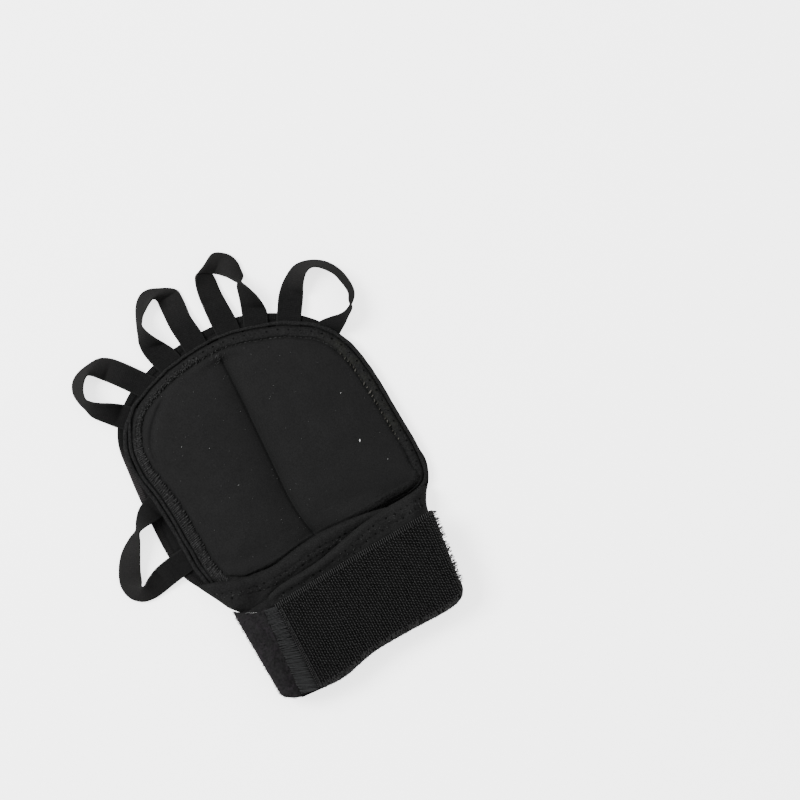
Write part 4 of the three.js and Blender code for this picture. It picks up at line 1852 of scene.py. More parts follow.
@dataclass
class CuffFlap:
    """One flap of the cuff: it rises at its fold, turns over and ends in a puffy hem.

    Attributes:
        name: The CAD node's name.
        side: Which side it folds on.
        height: Height of its middle over the wrist.
        free_end: X where it ends.
        hem: Where the hem and the wrist edge run.
        seed: Chooses how it ripples.
        needle_rows: Distances of the two needle rows from the hem.
        under: The hem of the flap that lies over this one.
        foot_gap: Space under its foot.
        fold_share: Share of its cloth that turns round the fold.
        deep: Its cloth's size from hem to wrist.
        strap_edge: Y where the hook tape starts to press it flat.
    """

    name: str
    side: Side
    height: float
    radius: float
    free_end: float
    fold: tuple[LineRow, ...]
    hem: tuple[HemRow, ...]
    seed: int
    needle_rows: Pair
    under: tuple[HemRow, ...] = ()
    hollows: tuple[HollowRow, ...] = ()
    foot_gap: float = 0.3
    fold_share: float = 0.28
    deep: float = 27.0
    strap_edge: float = -48.9

    def __post_init__(self) -> None:
        """Makes the tables readable."""
        self.fold_x = Track.of(self.fold, "y", "x")
        columns = ("edge", "end", "low", "puff")
        self.edge, self.end, self.low, self.puff = (Track.of(self.hem, "x", c) for c in columns)
        self.over_edge = Track.of(self.under, "x", "edge") if self.under else None
        self.long = abs(self.free_end - float(self.fold_x(-50.0))) + 7

    def relief(self, x: Array, y: Array, inside: Array) -> Array:
        """Height of the puffy hem, its needle rows and the hollows.

        Args:
            x: X of each place.
            y: Y of each place.
            inside: Its distance from the hem.

        Returns:
            The move upwards.
        """
        room = smooth((y - self.strap_edge) / 4.5)
        crest = smooth(inside / 2.0) - smooth((inside - 1.6) / 8.0)
        first, second = self.needle_rows
        rows = 0.22 * hump(inside - first, 0.7) + 0.22 * hump(inside - second, 0.7)
        move = Ripple(5.0, 0.11, self.seed)(x, y * 0.7)
        move += Ripple(2.4, 0.07, self.seed + 9)(x, y) * smooth((inside - 1.5) / 2) * room
        move += (self.puff(x) * crest - rows) * room
        for hollow in self.hollows:
            away = np.hypot(x - hollow.x, y - hollow.y)
            move -= hollow.deep * hump(away, hollow.wide)
        if self.over_edge is not None:
            beyond = np.maximum(y - self.over_edge(x), -2.0)
            move -= 2.4 * np.exp(-np.abs(beyond) / 3.2) * smooth(inside / 5)
        return move

    def shape(self, across: Array, along: Array) -> Array:
        """The middle of the flap at shares round the fold and from hem to wrist.

        Args:
            across: Shares from the foot round the fold to the free end.
            along: Shares from hem to wrist.

        Returns:
            The points, one row each.
        """
        side = self.side.value
        over = np.maximum(0, (across - self.fold_share) / (1 - self.fold_share))
        angle = math.pi / 2 * np.minimum(1, across / self.fold_share)
        y = self.hem[0].edge * (1 - along) - 66.0 * along
        for _ in range(4):
            contour = self.fold_x(y) - side * NEOPRENE / 2
            turned = contour - side * self.radius * (1 - np.cos(angle))
            x = turned * (1 - over) + self.free_end * over
            hem = self.edge(x)
            y = hem * (1 - along) + self.end(x) * along
        foot = panel_underside(y) + NEOPRENE + self.foot_gap
        inside = hem - y
        top = self.height - self.low(x) * (1 - smooth(inside / 9.0))
        z = foot + (top - foot) * np.sin(angle)
        return np.column_stack([x, y, z + np.sin(angle) ** 2 * self.relief(x, y, inside)])

    def build(self) -> list[Piece]:
        """Builds the flap and sews its hem.

        Returns:
            The flap, its threads and its needle holes.
        """
        wall = Wall("glove_" + self.name, self.long, self.deep, NEOPRENE, 0.5, 0.36)
        item = wall.make(self.shape)
        piece = hand_in(item, Slot.NEOPRENE, FLAP_FINISH, self.name)
        sewn = self.sew(item)
        return [piece, *sewn]

    def hem_places(self, runs: Array, insides: Array) -> Array:
        """Places along the hem, at distances inside it.

        Args:
            runs: X of each place.
            insides: Its distance from the hem.

        Returns:
            The places, as rows of X and Y.
        """
        slope = self.edge(runs + 0.5) - self.edge(runs - 0.5)
        size = np.hypot(slope, 1.0)
        return np.column_stack([runs + insides * slope / size, self.edge(runs) - insides / size])

    def sew(self, item: Piece) -> list[Piece]:
        """Sews the hem: two rows of needle holes, with threads that cross between them.

        Args:
            item: The flap.

        Returns:
            The threads and the holes.
        """
        rng = np.random.default_rng(self.seed)
        needle = Needle(item)
        first, second = self.needle_rows
        low, high = sorted((self.hem[0].x, self.hem[-1].x))
        runs = np.arange(low + 3.0, high - 3.0, 2.5)
        count = len(runs)
        thread = Stamp.thread(3, 0.5, 0.7)
        kept = []
        for _ in range(2):
            along = runs + rng.normal(0, 0.7, count)
            begun = self.hem_places(along, rng.uniform(first, second, count))
            onward = begun + rng.normal((0.5, -0.5), (0.5, 0.5), (count, 2))
            kept += needle.threads(begun, onward, rng.uniform(0.25, 0.5, count), 0.3)
        threads = thread.repeat("glove_" + self.name + "_hem_threads", kept)
        places = []
        for inside in (first, second):
            along = np.arange(low + 3.0 + rng.uniform(0, 2), high - 3.0, 3.3)
            along = along[rng.uniform(size=len(along)) < 0.85]
            uneven = rng.normal(0, (0.45, 0.25), (len(along), 2))
            centres = self.hem_places(along + uneven[:, 0], inside + uneven[:, 1])
            places += needle.pricks(centres, rng.uniform(0.6, 1.2, len(along)))
        holes = Stamp.dimple().repeat("glove_" + self.name + "_needle_holes", places)
        return [
            hand_in(threads, Slot.NEOPRENE, STITCH_THREAD),
            hand_in(holes, Slot.NEOPRENE, HEM_HOLE_FINISH),
        ]


@dataclass
class WristBand:
    """The brushed band, from behind the cuff round its fold and over the front.

    Attributes:
        seam_start: X where it starts to rise to the hook tape.
        seam_end: X where it has risen.
        rise: About how far it rises round its fold, which keeps the turn round.
        hairs: How many loose hairs stand out of the pile.
    """

    rows: tuple[BandRow, ...] = rows_of(
        BandRow,
        (47.0, 0.0, -48.8, -87.4), (10.0, 0.0, -48.4, -87.6), (-24.0, 0.0, -48.2, -87.4),
        (-33.8, 0.0, -47.0, -86.4), (-36.8, 0.11, -45.2, -85.0), (-37.6, 0.5, -44.3, -84.0),
        (-36.6, 0.88, -45.1, -86.0), (-33.0, 1.0, -47.1, -88.4), (-30.0, 1.0, -48.8, -89.4),
        (-24.2, 1.0, -49.9, -89.6),
    )
    seam_start: float = -31.4
    seam_end: float = -24.2
    rise: float = 8.0
    width: float = 39.0
    length: float = 107.0
    hairs: int = 2600

    def shape(self, across: Array, along: Array) -> Array:
        """The middle of the band at shares across and along.

        Args:
            across: Shares across the band.
            along: Shares along the band.

        Returns:
            The points, one row each.
        """
        steps = along * (len(self.rows) - 1)
        table = np.array(self.rows) * (1, self.rise, 1, 1)
        top, bottom = (curve_points(table[:, [0, 1, edge]], steps) for edge in (2, 3))
        x, level = top[:, 0], np.maximum(0, top[:, 1] / self.rise)
        y = top[:, 2] * (1 - across) + bottom[:, 2] * across
        to_seam = smooth((x - self.seam_start) / (self.seam_end - self.seam_start))
        front = BAND_FRONT_Z + (BAND_SEAM_Z - BAND_FRONT_Z) * np.where(along > 0.6, to_seam, 0)
        z = BAND / 2 * (1 - level) + (front - strap_sag(y)) * level
        waves = Ripple(9.0, 0.12, 17)(x, y) * level
        return np.column_stack([x, y, z + waves])

    def build(self) -> list[Piece]:
        """Builds the band, its loose hairs and a thin pale line along its edge.

        Returns:
            The band, its hairs and the pale line.
        """
        wall = Wall("glove_wrist_band", self.width, self.length, BAND, 0.6, 0.3)
        item = wall.make(self.shape)
        piece = hand_in(item, Slot.LOOP_PILE, PILE_FINISH, "wrist_band")
        extras = [self.pile(item), self.pale_edge_line()]
        flat = (self.width * MM, self.length * MM)
        return [piece, *extras]

    def pale_edge_line(self) -> Piece:
        """Lays a thin pale line along the front run's top edge.

        Returns:
            The line.
        """
        start, end, count = 0.770, 0.905, 13
        marks = np.linspace(start, end, count)
        points = self.shape(np.full(count, 0.002), marks)
        points[:, 2] += 0.35
        ends = [Vector(point) for point in metres(points)]
        sizes = 0.05 + 0.03 * np.sin(np.linspace(0.2, 9.6, count - 1))
        places = [
            lay_thread(first, last, UP, float(size), 0.0)
            for first, last, size in zip(ends, ends[1:], sizes)
        ]
        item = Stamp.thread(2, 0.0, 0.15).repeat("glove_band_pale_edge_line", places)
        return hand_in(item, Slot.LOOP_PILE, LINT_FINISH)

    def pile(self, item: Piece) -> Piece:
        """Stands hairs on the band's outer face, where it folds and over the front.

        Args:
            item: The band.

        Returns:
            The hairs.
        """
        rng = np.random.default_rng(11)
        faces = [face for face in item.data.polygons if face.area > 0.02 * MM**2]
        centres = np.array([face.center for face in faces])
        normals = np.array([face.normal for face in faces])
        flat = millimetres(centres)
        outside = (normals[:, 2] > 0.2) | (normals[:, 0] < -0.3)
        shown = (flat[:, 0] < -23) & (flat[:, 2] > 1.8) & outside
        places = []
        for index in rng.choice(np.nonzero(shown)[0], self.hairs):
            normal = Vector(normals[index])
            start = Vector(centres[index]) - normal * 0.1 * MM
            lean = Vector(rng.normal(0, 0.75, 3)) + normal * 0.5
            end = start + lean.normalized() * rng.uniform(0.6, 1.3) * MM
            side = Vector(rng.normal(0, 1, 3))
            places.append(lay_thread(start, end, side, rng.uniform(0.08, 0.16), 0.0))
        pile = Stamp.thread(2, 1.5, 0.9, 5).repeat("glove_band_hairs", places)
        return hand_in(pile, Slot.LOOP_PILE, PILE_HAIR)


@dataclass
class HookTape:
    """The wide hook tape: woven ground, hooks, a ribbed selvage and a sewn end.

    Attributes:
        rows: Its sections, from the sewn end to the cut end.
        pitch_x: Distance between hooks along the tape.
        pitch_y: Distance between hooks across the tape.
        selvage: Width of the ribbed edge.
        hook_long, hook_tall: The hooks' sizes in even and in odd columns.
        lower_frays, end_frays: How many yarn ends hang at the lower edge and at the cut end.
    """

    rows: tuple[HookRow, ...] = rows_of(
        HookRow,
        (-26.6, -50.1, -30.8, -89.5), (-18.0, -49.6, -22.0, -90.4), (-8.0, -49.3, -11.6, -91.0),
        (8.0, -48.9, 5.0, -88.1), (26.0, -48.5, 22.0, -87.9), (44.0, -48.3, 39.0, -88.4),
        (51.5, -48.3, 45.6, -87.7), (54.6, -48.3, 49.2, -85.6), (55.8, -48.8, 50.6, -81.5),
    )
    width: float = 41.0
    pitch_x: float = 2.2
    pitch_y: float = 1.35
    selvage: float = 2.7
    hook_long: Pair = (1.2, 1.0)
    hook_tall: Pair = (1.4, 1.25)
    lower_frays: int = 560
    end_frays: int = 170
    satin_top: float = 6.2
    satin_bottom: float = 8.2

    def __post_init__(self) -> None:
        """Measures the tape along its middle."""
        share = np.linspace(0, 1, 400)
        line = self.flat(np.full(400, 0.5), share)
        run = np.concatenate([[0], np.cumsum(np.linalg.norm(np.diff(line, axis=0), axis=1))])
        self.length = float(run[-1])
        self.share = Track(run, share)

    def flat(self, across: Array, along: Array) -> Array:
        """X and Y at shares from top to bottom and along the table.

        Args:
            across: Shares across the tape.
            along: Shares along the table.

        Returns:
            The places, as rows of X and Y.
        """
        steps = along * (len(self.rows) - 1)
        table = np.array(self.rows)
        top, bottom = curve_points(table[:, :2], steps), curve_points(table[:, 2:], steps)
        return top * (1 - across[:, None]) + bottom * across[:, None]

    def shape(self, across: Array, along: Array) -> Array:
        """The middle of the tape at shares of its width and its length.

        Args:
            across: Shares across the tape.
            along: Shares along the tape.

        Returns:
            The points, one row each.
        """
        flat = self.flat(across, self.share(along * self.length))
        curl = 0.5 * smooth((across - 0.93) / 0.07)
        waves = Ripple(14.0, 0.12, 44)(flat[:, 0], flat[:, 1])
        z = HOOK_TAPE_Z - strap_sag(flat[:, 1]) + waves - curl
        return np.column_stack([flat, z])

    def on_top(self, downs: Array | float, runs: Array | float, lift: float = 0.0) -> list[Vector]:
        """Points in metres on the upper face, at millimetres down and along the tape.

        Args:
            downs: How far down the tape.
            runs: How far along the tape.
            lift: How far over the face.

        Returns:
            The points.
        """
        downs, runs = np.broadcast_arrays(np.atleast_1d(downs), np.atleast_1d(runs))
        points = self.shape(downs / self.width, runs / self.length)
        points[:, 2] += HOOK_BASE / 2 + lift
        return [Vector(point) for point in metres(points)]

    def satin_edge(self, down: Array | float) -> Array | float:
        """How far along the tape the sewn column reaches, at millimetres down the tape."""
        return self.satin_top + (self.satin_bottom - self.satin_top) * down / self.width

    def build(self) -> list[Piece]:
        """Builds the tape and what is on it.

        Returns:
            The tape, and the pieces on it.
        """
        wall = Wall("glove_hook_tape", self.width, self.length, HOOK_BASE, 0.5, 0.5)
        ground = hand_in(wall.make(self.shape), Slot.HOOKS, HOOK_GROUND, "hook_tape")
        extras = [self.hooks(), self.edging(), self.column(), self.frays()]
        flat, rests = (self.width * MM, self.length * MM), ["cuff_flap_outer"]
        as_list(rests)
        return [ground, *extras]

    def hooks(self) -> Piece:
        """Plants the hooks in slanting rows.

        Returns:
            The hooks.
        """
        rng = np.random.default_rng(5)
        places = []
        beside = 1.6
        columns = int((self.length - self.satin_top - beside - 0.2) / (self.pitch_x / 2))
        rows = int((self.width - self.selvage - 0.8) / self.pitch_y)
        for column in range(columns):
            odd = column % 2
            for row in range(rows):
                down = self.selvage + 0.4 + (row + 0.36 * odd) * self.pitch_y
                along = self.satin_edge(down) + beside + column * self.pitch_x / 2
                run = along + rng.normal(0, 0.07)
                if run > self.length - 0.5:
                    continue
                point = self.on_top(down + rng.normal(0, 0.05), run, -0.08)[0]
                slant = -60 - 12 * (1 - run / self.length) - 10 * down / self.width
                slant += rng.normal(0, 6)
                long = self.hook_long[odd] * rng.uniform(0.9, 1.1)
                tall = self.hook_tall[odd] * rng.uniform(0.9, 1.1)
                turn = Matrix.Rotation(math.radians(slant), 4, "Z")
                lean = Matrix.Rotation(math.radians(rng.normal(22, 4)), 4, "X")
                grow = Matrix.Diagonal((long * MM, 1.2 * MM, tall * MM, 1.0))
                places.append(Matrix.Translation(point) @ turn @ lean @ grow)
        item = Stamp.hook().repeat("glove_hooks", places)
        return hand_in(item, Slot.HOOKS, HOOK_FINISH)

    def edging(self) -> Piece:
        """Sews the ribbed selvage along the top edge, and the yarns beside the sewn column.

        Returns:
            The yarns.
        """
        rng = np.random.default_rng(6)
        runs = np.arange(self.satin_top - 0.4, self.length - 0.6, 0.92)
        places = []
        for low, high in ((0.1, 1.4), (1.2, 2.6)):
            starts = self.on_top(low, runs + rng.normal(0, 0.04, len(runs)))
            ends = self.on_top(high, runs + rng.normal(0, 0.04, len(runs)))
            places += [lay_thread(*pair, UP, 0.46, 0.8) for pair in zip(starts, ends)]
        downs = np.arange(3.2, self.width - 0.8, 0.95)
        for beside in (0.1, 0.75, 1.4):
            run = self.satin_edge(downs) + beside
            starts = self.on_top(downs, run + rng.normal(0, 0.06, len(downs)))
            ends = self.on_top(downs + 0.8, run + rng.normal(0, 0.06, len(downs)))
            places += [lay_thread(*pair, UP, 0.4, 0.5) for pair in zip(starts, ends)]
        item = Stamp.thread(1, 0.3, 0.4).repeat("glove_hook_selvage", places)
        return hand_in(item, Slot.HOOKS, SELVAGE_FINISH)

    def column(self) -> Piece:
        """Sews the satin column that holds the tape to the band.

        Returns:
            The satin threads.
        """
        rng = np.random.default_rng(9)
        downs = np.arange(0.5, self.width - 0.2, 0.52)
        count = len(downs)
        left = rng.uniform(0, 0.5, count)
        right = self.satin_edge(downs) + rng.uniform(-0.5, 0.3, count)
        tip = 0.75 + 0.9 * downs / self.width + rng.normal(0, 0.14, count)
        starts = self.on_top(np.maximum(downs - tip, 0.1), left)
        ends = self.on_top(np.minimum(downs + tip, self.width - 0.1), right)
        sizes = rng.uniform(0.34, 0.46, count)
        pairs = zip(starts, ends, sizes)
        places = [lay_thread(start, end, UP, size, 0.9) for start, end, size in pairs]
        item = Stamp.thread(7, 0.5, 0.55).repeat("glove_satin_column", places)
        return hand_in(item, Slot.LOOP_PILE, SATIN_THREAD)

    def frays(self) -> Piece:
        """Leaves short yarn ends along the lower edge and the cut end.

        Returns:
            The yarn ends.
        """
        rng = np.random.default_rng(13)
        places = []
        for _ in range(self.lower_frays):
            run, down = rng.uniform(9, self.length - 1), self.width - rng.uniform(0.3, 3.0)
            start = self.on_top(down, run)[0]
            reach = min(down + rng.uniform(1.0, 2.2), self.width + 0.2)
            end = self.on_top(reach, run + rng.normal(0, 0.5))[0]
            places.append(lay_thread(start, end, UP, rng.uniform(0.18, 0.36), 0.6))
        for _ in range(self.end_frays):
            start = self.on_top(rng.uniform(0.3, 38), self.length - 0.9)[0]
            reach = (rng.uniform(0.8, 2.2), rng.normal(0, 0.6), rng.uniform(-0.1, 0.8))
            thick = rng.uniform(0.18, 0.4)
            places.append(lay_thread(start, start + Vector(reach) * MM, UP, thick, 0.6))
        item = Stamp.thread(2, 0.8, 0.6).repeat("glove_hook_tape_frays", places)
        return hand_in(item, Slot.HOOKS, SELVAGE_FINISH)


@dataclass
class PadStitching:
    """The threads that are sewn round the pad's border.

    Attributes:
        cover: Its finished cover.
    """

    pad: WeightPad
    cover: Piece

    def __post_init__(self) -> None:
        """Takes the needle, the thread and a measure of the way round."""
        self.needle = Needle(self.cover)
        self.thread = Stamp.thread(3, 0.5, 0.7)
        self.rng = np.random.default_rng(3)

    def run(self, start: Pair, end: Pair, pitch: float) -> Array:
        """Shares of the way round, from one place to another against the clock.

        Args:
            start: X and Y near the start.
            end: X and Y near the end.
            pitch: Distance between shares, in millimetres.

        Returns:
            The shares.
        """
        first, last = (self.pad.outline.share_near(*place) for place in (start, end))
        span = (last - first) % 1.0
        count = int(span * self.pad.outline.length / pitch)
        return (first + np.linspace(0, span, count)) % 1.0

    def lay(
        self, shares: Array, starts: Array, ends: Array, ahead: Array, thick: Array, proud: float
    ) -> list[Matrix]:
        """Lays threads on the border.

        Args:
            shares: Where each thread starts, as a share of the way round.
            starts: How deep inside the outline it starts.
            ends: How deep inside the outline it ends.
            ahead: How far on it ends, in millimetres.
            thick: The threads' thickness.
            proud: How far the ends stand over the cloth, in thicknesses.

        Returns:
            The threads' places.
        """
        outline = self.pad.outline
        from_places = outline.at(shares, starts)
        to_places = outline.at(shares + ahead / outline.length, ends)
        return self.needle.threads(from_places, to_places, thick, proud)

    def uneven(self, shares: Array, middle: float, spread: float) -> Array:
        """Uneven distances, one for each share."""
        return self.rng.normal(middle, spread, len(shares))

    def row(
        self, shares: Array, start: Pair, end: Pair, thick: Pair, ahead: float
    ) -> list[Matrix]:
        """Lays one row of single stitches near the border's inner edge.

        Args:
            shares: Where each stitch is, as a share of the way round.
            start: Where it starts, past the border, and how uneven that is.
            end: Where it ends, past the border, and how uneven that is.
            thick: The thinnest and the thickest thread.
            ahead: How far on it ends, in millimetres.

        Returns:
            The threads' places.
        """
        wide = self.pad.border_width(shares)
        starts, ends = wide + self.uneven(shares, *start), wide + self.uneven(shares, *end)
        sizes = self.rng.uniform(*thick, len(shares))
        return self.lay(shares, starts, ends, self.uneven(shares, ahead, 0.3), sizes, 0.5)

    def overlock(self) -> Piece:
        """Sews the overlock beside the thumb: threads side by side across the border.

        Returns:
            The threads.
        """
        shares = self.run((-41.0, 41.0), (-36.0, -34.0), 0.84)
        starts, ahead = self.uneven(shares, 1.0, 0.2), self.uneven(shares, -0.9, 0.3)
        across = self.pad.border_width(shares) - self.uneven(shares, 0.0, 0.35) - starts
        thick = self.rng.uniform(0.32, 0.6, len(shares))
        places = []
        for low, high in ((0.0, 0.38), (0.3, 0.7), (0.62, 1.0)):
            begun = (shares + ahead * low / self.pad.outline.length) % 1.0
            near, far = starts + across * low, starts + across * high
            places += self.lay(begun, near, far, ahead * (high - low), thick, 0.55)
        item = self.thread.repeat("glove_pad_overlock", places)
        return hand_in(item, Slot.PAD_KNIT, SEAM_THREAD)

    def squiggles(self) -> Piece:
        """Sews the uneven zigzag at the top corner beside the thumb.

        Returns:
            The threads.
        """
        shares = self.run((2.0, 60.0), (-41.5, 40.0), 0.72)
        wide = self.pad.border_width(shares)
        near, far = self.uneven(shares, 1.9, 0.35), wide + self.uneven(shares, -0.35, 0.35)
        odd = np.arange(len(shares)) % 2 > 0
        starts, ends = np.where(odd, near, far), np.where(odd, far, near)
        middle = (starts + ends) / 2
        thick = self.rng.uniform(0.4, 0.7, len(shares))
        places = self.lay(shares, starts, middle, self.uneven(shares, 0.4, 0.3), thick, 0.6)
        places += self.lay(shares, middle, ends, self.uneven(shares, 0.5, 0.4), thick, 0.6)
        patch = np.column_stack([self.rng.normal(9.9, 1.4, 34), self.rng.normal(52.0, 1.9, 34)])
        onward = patch + self.rng.normal(0, 0.7, patch.shape)
        places += self.needle.threads(patch, onward, self.rng.uniform(0.3, 0.5, 34), 0.4)
        item = self.thread.repeat("glove_pad_squiggles", places)
        return hand_in(item, Slot.PAD_KNIT, STITCH_THREAD)

    def ladder(self) -> Piece:
        """Sews the slanting stitches, faded with wear, along the border's inner edge, on the outer
        side.

        Returns:
            The threads.
        """
        shares = self.run((61.0, -16.0), (56.5, 27.0), 1.95)
        shares = shares + self.uneven(shares, 0.0, 0.3) / self.pad.outline.length
        places = self.row(shares, (0.35, 0.2), (-0.5, 0.25), (0.35, 0.8), 0.6)
        item = self.thread.repeat("glove_pad_ladder_stitches", places)
        return hand_in(item, Slot.PAD_KNIT, WORN_THREAD)

    def inner_row(self) -> Piece:
        """Sews the short stitches in the crease along the top.

        Returns:
            The threads.
        """
        shares = self.run((56.0, 30.0), (-30.0, 51.0), 2.2)
        places = self.row(shares, (-0.15, 0.2), (-0.1, 0.3), (0.3, 0.55), 1.15)
        item = self.thread.repeat("glove_pad_inner_stitches", places)
        return hand_in(item, Slot.PAD_KNIT, STITCH_THREAD)

    def holes(self) -> Piece:
        """Pricks the needle holes along the top and down the outer side.

        Returns:
            The holes.
        """
        shares = self.run((61.0, -28.0), (-14.0, 58.0), 4.6)
        centres = self.pad.outline.at(shares, self.uneven(shares, 1.7, 0.12))
        places = self.needle.pricks(centres, self.rng.uniform(0.65, 1.1, len(shares)))
        item = Stamp.dimple().repeat("glove_pad_needle_holes", places)
        return hand_in(item, Slot.PAD_KNIT, HOLE_FINISH)

    def build(self) -> list[Piece]:
        """Sews every run of the border."""
        return [self.overlock(), self.squiggles(), self.ladder(), self.inner_row(), self.holes()]


@dataclass
class Lint:
    """Specks of lint and dust that lie on the cloth.

    Attributes:
        large: The bits that catch the eye.
        dust: How many faint specks there are.
    """

    cloth: Sequence[Piece]
    large: tuple[SpeckRow, ...] = rows_of(
        SpeckRow,
        (44.0, -8.4, 1.30, 0.50, 62), (-20.0, -51.2, 1.1, 0.60, -35),
        (47.1, 12.9, 0.50, 0.20, 10), (50.3, -21.0, 0.50, 0.16, -30),
        (4.3, -35.2, 0.35, 0.16, 0), (-22.1, 26.6, 0.35, 0.13, 30),
        (-12.1, 20.4, 0.35, 0.12, 0), (-9.3, 0.8, 0.30, 0.12, 20),
    )
    dust: int = 110

    def build(self) -> list[Piece]:
        """Scatters the specks.

        Returns:
            The lint and the dust.
        """
        rng = np.random.default_rng(8)
        needle = Needle(*self.cloth)
        speck = Stamp.thread(1, 0.2, 0.8)
        table = np.array(self.large)
        turns = np.radians(table[:, 4])
        reach = np.column_stack([np.cos(turns), np.sin(turns)]) * table[:, 2:3] / 2
        ends = table[:, :2] + reach
        lint = speck.repeat("glove_lint", needle.threads(ends - 2 * reach, ends, table[:, 3]))
        across, along = rng.uniform(-36, 57, self.dust), rng.uniform(-34, 54, self.dust)
        centres = np.column_stack([across, along])
        turns = rng.uniform(0, math.pi, self.dust)
        longs = 0.12 + 0.22 * rng.power(0.6, self.dust)
        reach = np.column_stack([np.cos(turns), np.sin(turns)]) * longs[:, None]
        sizes = rng.uniform(0.14, 0.34, self.dust)
        dust = speck.repeat("glove_dust", needle.threads(centres - reach, centres + reach, sizes))
        return [
            hand_in(lint, Slot.PAD_KNIT, LINT_FINISH),
            hand_in(dust, Slot.PAD_KNIT, DUST_FINISH),
        ]


@dataclass
class Studio:
    """The floor, the lights and the camera over them.

    Attributes:
        look_x, look_y: The place under the picture's middle.
        turn: How far the picture is turned about the vertical.
        seen, seen_at: Width that the picture shows, and the height where it shows it.
    """

    look_x: float = 67.1
    look_y: float = -2.1
    turn: float = -30.0
    seen: float = 336.0
    height: float = 2600.0
    seen_at: float = 5.0
    film: float = 36.0

    def build(self) -> None:
        """Builds all three."""
        self.floor()
        self.lights()
        self.camera()

    def floor(self) -> None:
        """Lays the pale floor."""
        deselect()
        bpy.ops.mesh.primitive_plane_add(size=6.0, location=(0, 0, -0.0004))
        item = name_added("floor")
        item.data.materials.append(
            Shader("pale_floor").close(
                Base_Color=(0.95, 0.95, 0.95, 1),
                Roughness=0.9,
                Specular_IOR_Level=0.1,
                Emission_Color=(1, 1, 1, 1),
                Emission_Strength=2.2,
            )
        )
        item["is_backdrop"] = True

    def lights(self) -> None:
        """Hangs soft lights round the glove."""
        world = bpy.context.scene.world or bpy.data.worlds.new("studio")
        bpy.context.scene.world = world
        world.use_nodes = True
        background = world.node_tree.nodes["Background"]
        background.inputs["Color"].default_value = (1, 1, 1, 1)
        background.inputs["Strength"].default_value = 1.1
        for name, place, size, power in (
            ("key", (-0.75, 0.80, 1.30), 0.8, 60.0),
            ("fill", (0.9, 0.6, 1.5), 1.4, 12.0),
        ):
            deselect()
            bpy.ops.object.light_add(type="AREA", location=place)
            lamp = bpy.context.active_object
            lamp.name = name + "_light"
            lamp.data.size = size
            lamp.data.energy = power
            lamp.rotation_euler = (-Vector(place)).to_track_quat("-Z", "Y").to_euler()

    def camera(self) -> None:
        """Hangs the camera straight above, turned as the picture is."""
        deselect()
        x, y = (self.look_x + SHIFT[0]) * MM, (self.look_y + SHIFT[1]) * MM
        bpy.ops.object.camera_add(
            location=(x, y, self.height * MM), rotation=(0, 0, math.radians(self.turn))
        )
        eye = bpy.context.active_object
        eye.name = "camera"
        eye.data.sensor_width = self.film
        eye.data.lens = self.film * (self.height - self.seen_at) / self.seen
        eye.data.clip_start, eye.data.clip_end = 0.05, 50.0
        bpy.context.scene.camera = eye


INDEX_ROWS = rows_of(
    TapeRow,
    (-15.3, 55.1, -23.9, 49.1), (-20.3, 62.2, -28.9, 56.3), (-26.0, 70.1, -34.3, 63.9),
    (-29.6, 74.1, -37.5, 68.0), (-33.6, 76.3, -40.1, 71.3), (-39.6, 76.3, -42.0, 72.2),
    (-45.2, 75.2, -43.9, 70.8), (-48.7, 72.9, -45.6, 68.6), (-50.6, 69.1, -46.6, 66.4),
    (-50.5, 64.5, -46.9, 63.7), (-49.6, 60.6, -45.0, 61.4), (-48.7, 56.4, -42.1, 59.4),
    (-44.6, 50.8, -38.4, 57.3), (-41.7, 47.1, -34.1, 54.1), (-36.4, 41.7, -28.9, 48.7),
)
MIDDLE_ROWS = rows_of(
    TapeRow,
    (8.8, 55.5, -1.6, 55.6), (9.2, 64.7, -1.4, 64.3), (8.6, 72.1, -1.8, 72.3),
    (9.2, 77.5, -1.3, 79.4), (9.5, 81.8, -1.0, 82.7), (9.3, 84.6, -0.8, 85.0),
    (7.4, 86.6, -1.3, 86.3), (3.3, 89.0, -2.7, 86.3), (-1.2, 91.1, -5.0, 85.0),
    (-4.6, 91.2, -7.2, 83.5), (-7.4, 89.6, -8.9, 82.1), (-9.8, 86.8, -10.2, 80.5),
    (-11.8, 83.1, -11.2, 79.1), (-13.6, 79.3, -11.1, 77.4), (-15.0, 76.0, -10.2, 74.7),
    (-16.2, 73.5, -8.5, 71.3), (-16.8, 68.9, -6.0, 67.2), (-15.6, 61.9, -4.2, 63.4),
    (-12.8, 53.5, -2.8, 56.6),
)
RING_ROWS = rows_of(
    TapeRow,
    (23.7, 53.7, 33.2, 49.5), (26.7, 60.5, 37.3, 57.8), (28.6, 65.4, 37.6, 60.9),
    (30.0, 69.1, 37.1, 65.4), (30.9, 71.8, 36.2, 68.3), (31.7, 73.7, 35.4, 70.5),
    (33.0, 75.0, 34.6, 72.3), (34.9, 75.4, 33.2, 74.2), (36.1, 76.4, 31.8, 76.1),
    (36.6, 79.0, 30.3, 78.4), (37.0, 82.4, 28.6, 80.3), (35.8, 86.5, 27.0, 81.9),
    (33.0, 89.4, 24.8, 83.6), (30.3, 90.7, 22.8, 85.0), (27.6, 89.8, 20.8, 85.8),
    (26.0, 88.0, 19.3, 85.9), (25.3, 84.7, 18.1, 85.1), (25.4, 81.0, 16.8, 82.7),
    (24.8, 75.7, 15.5, 78.2), (24.7, 70.1, 14.7, 72.6), (24.6, 62.9, 13.9, 64.4),
    (23.7, 54.2, 13.5, 55.3),
)
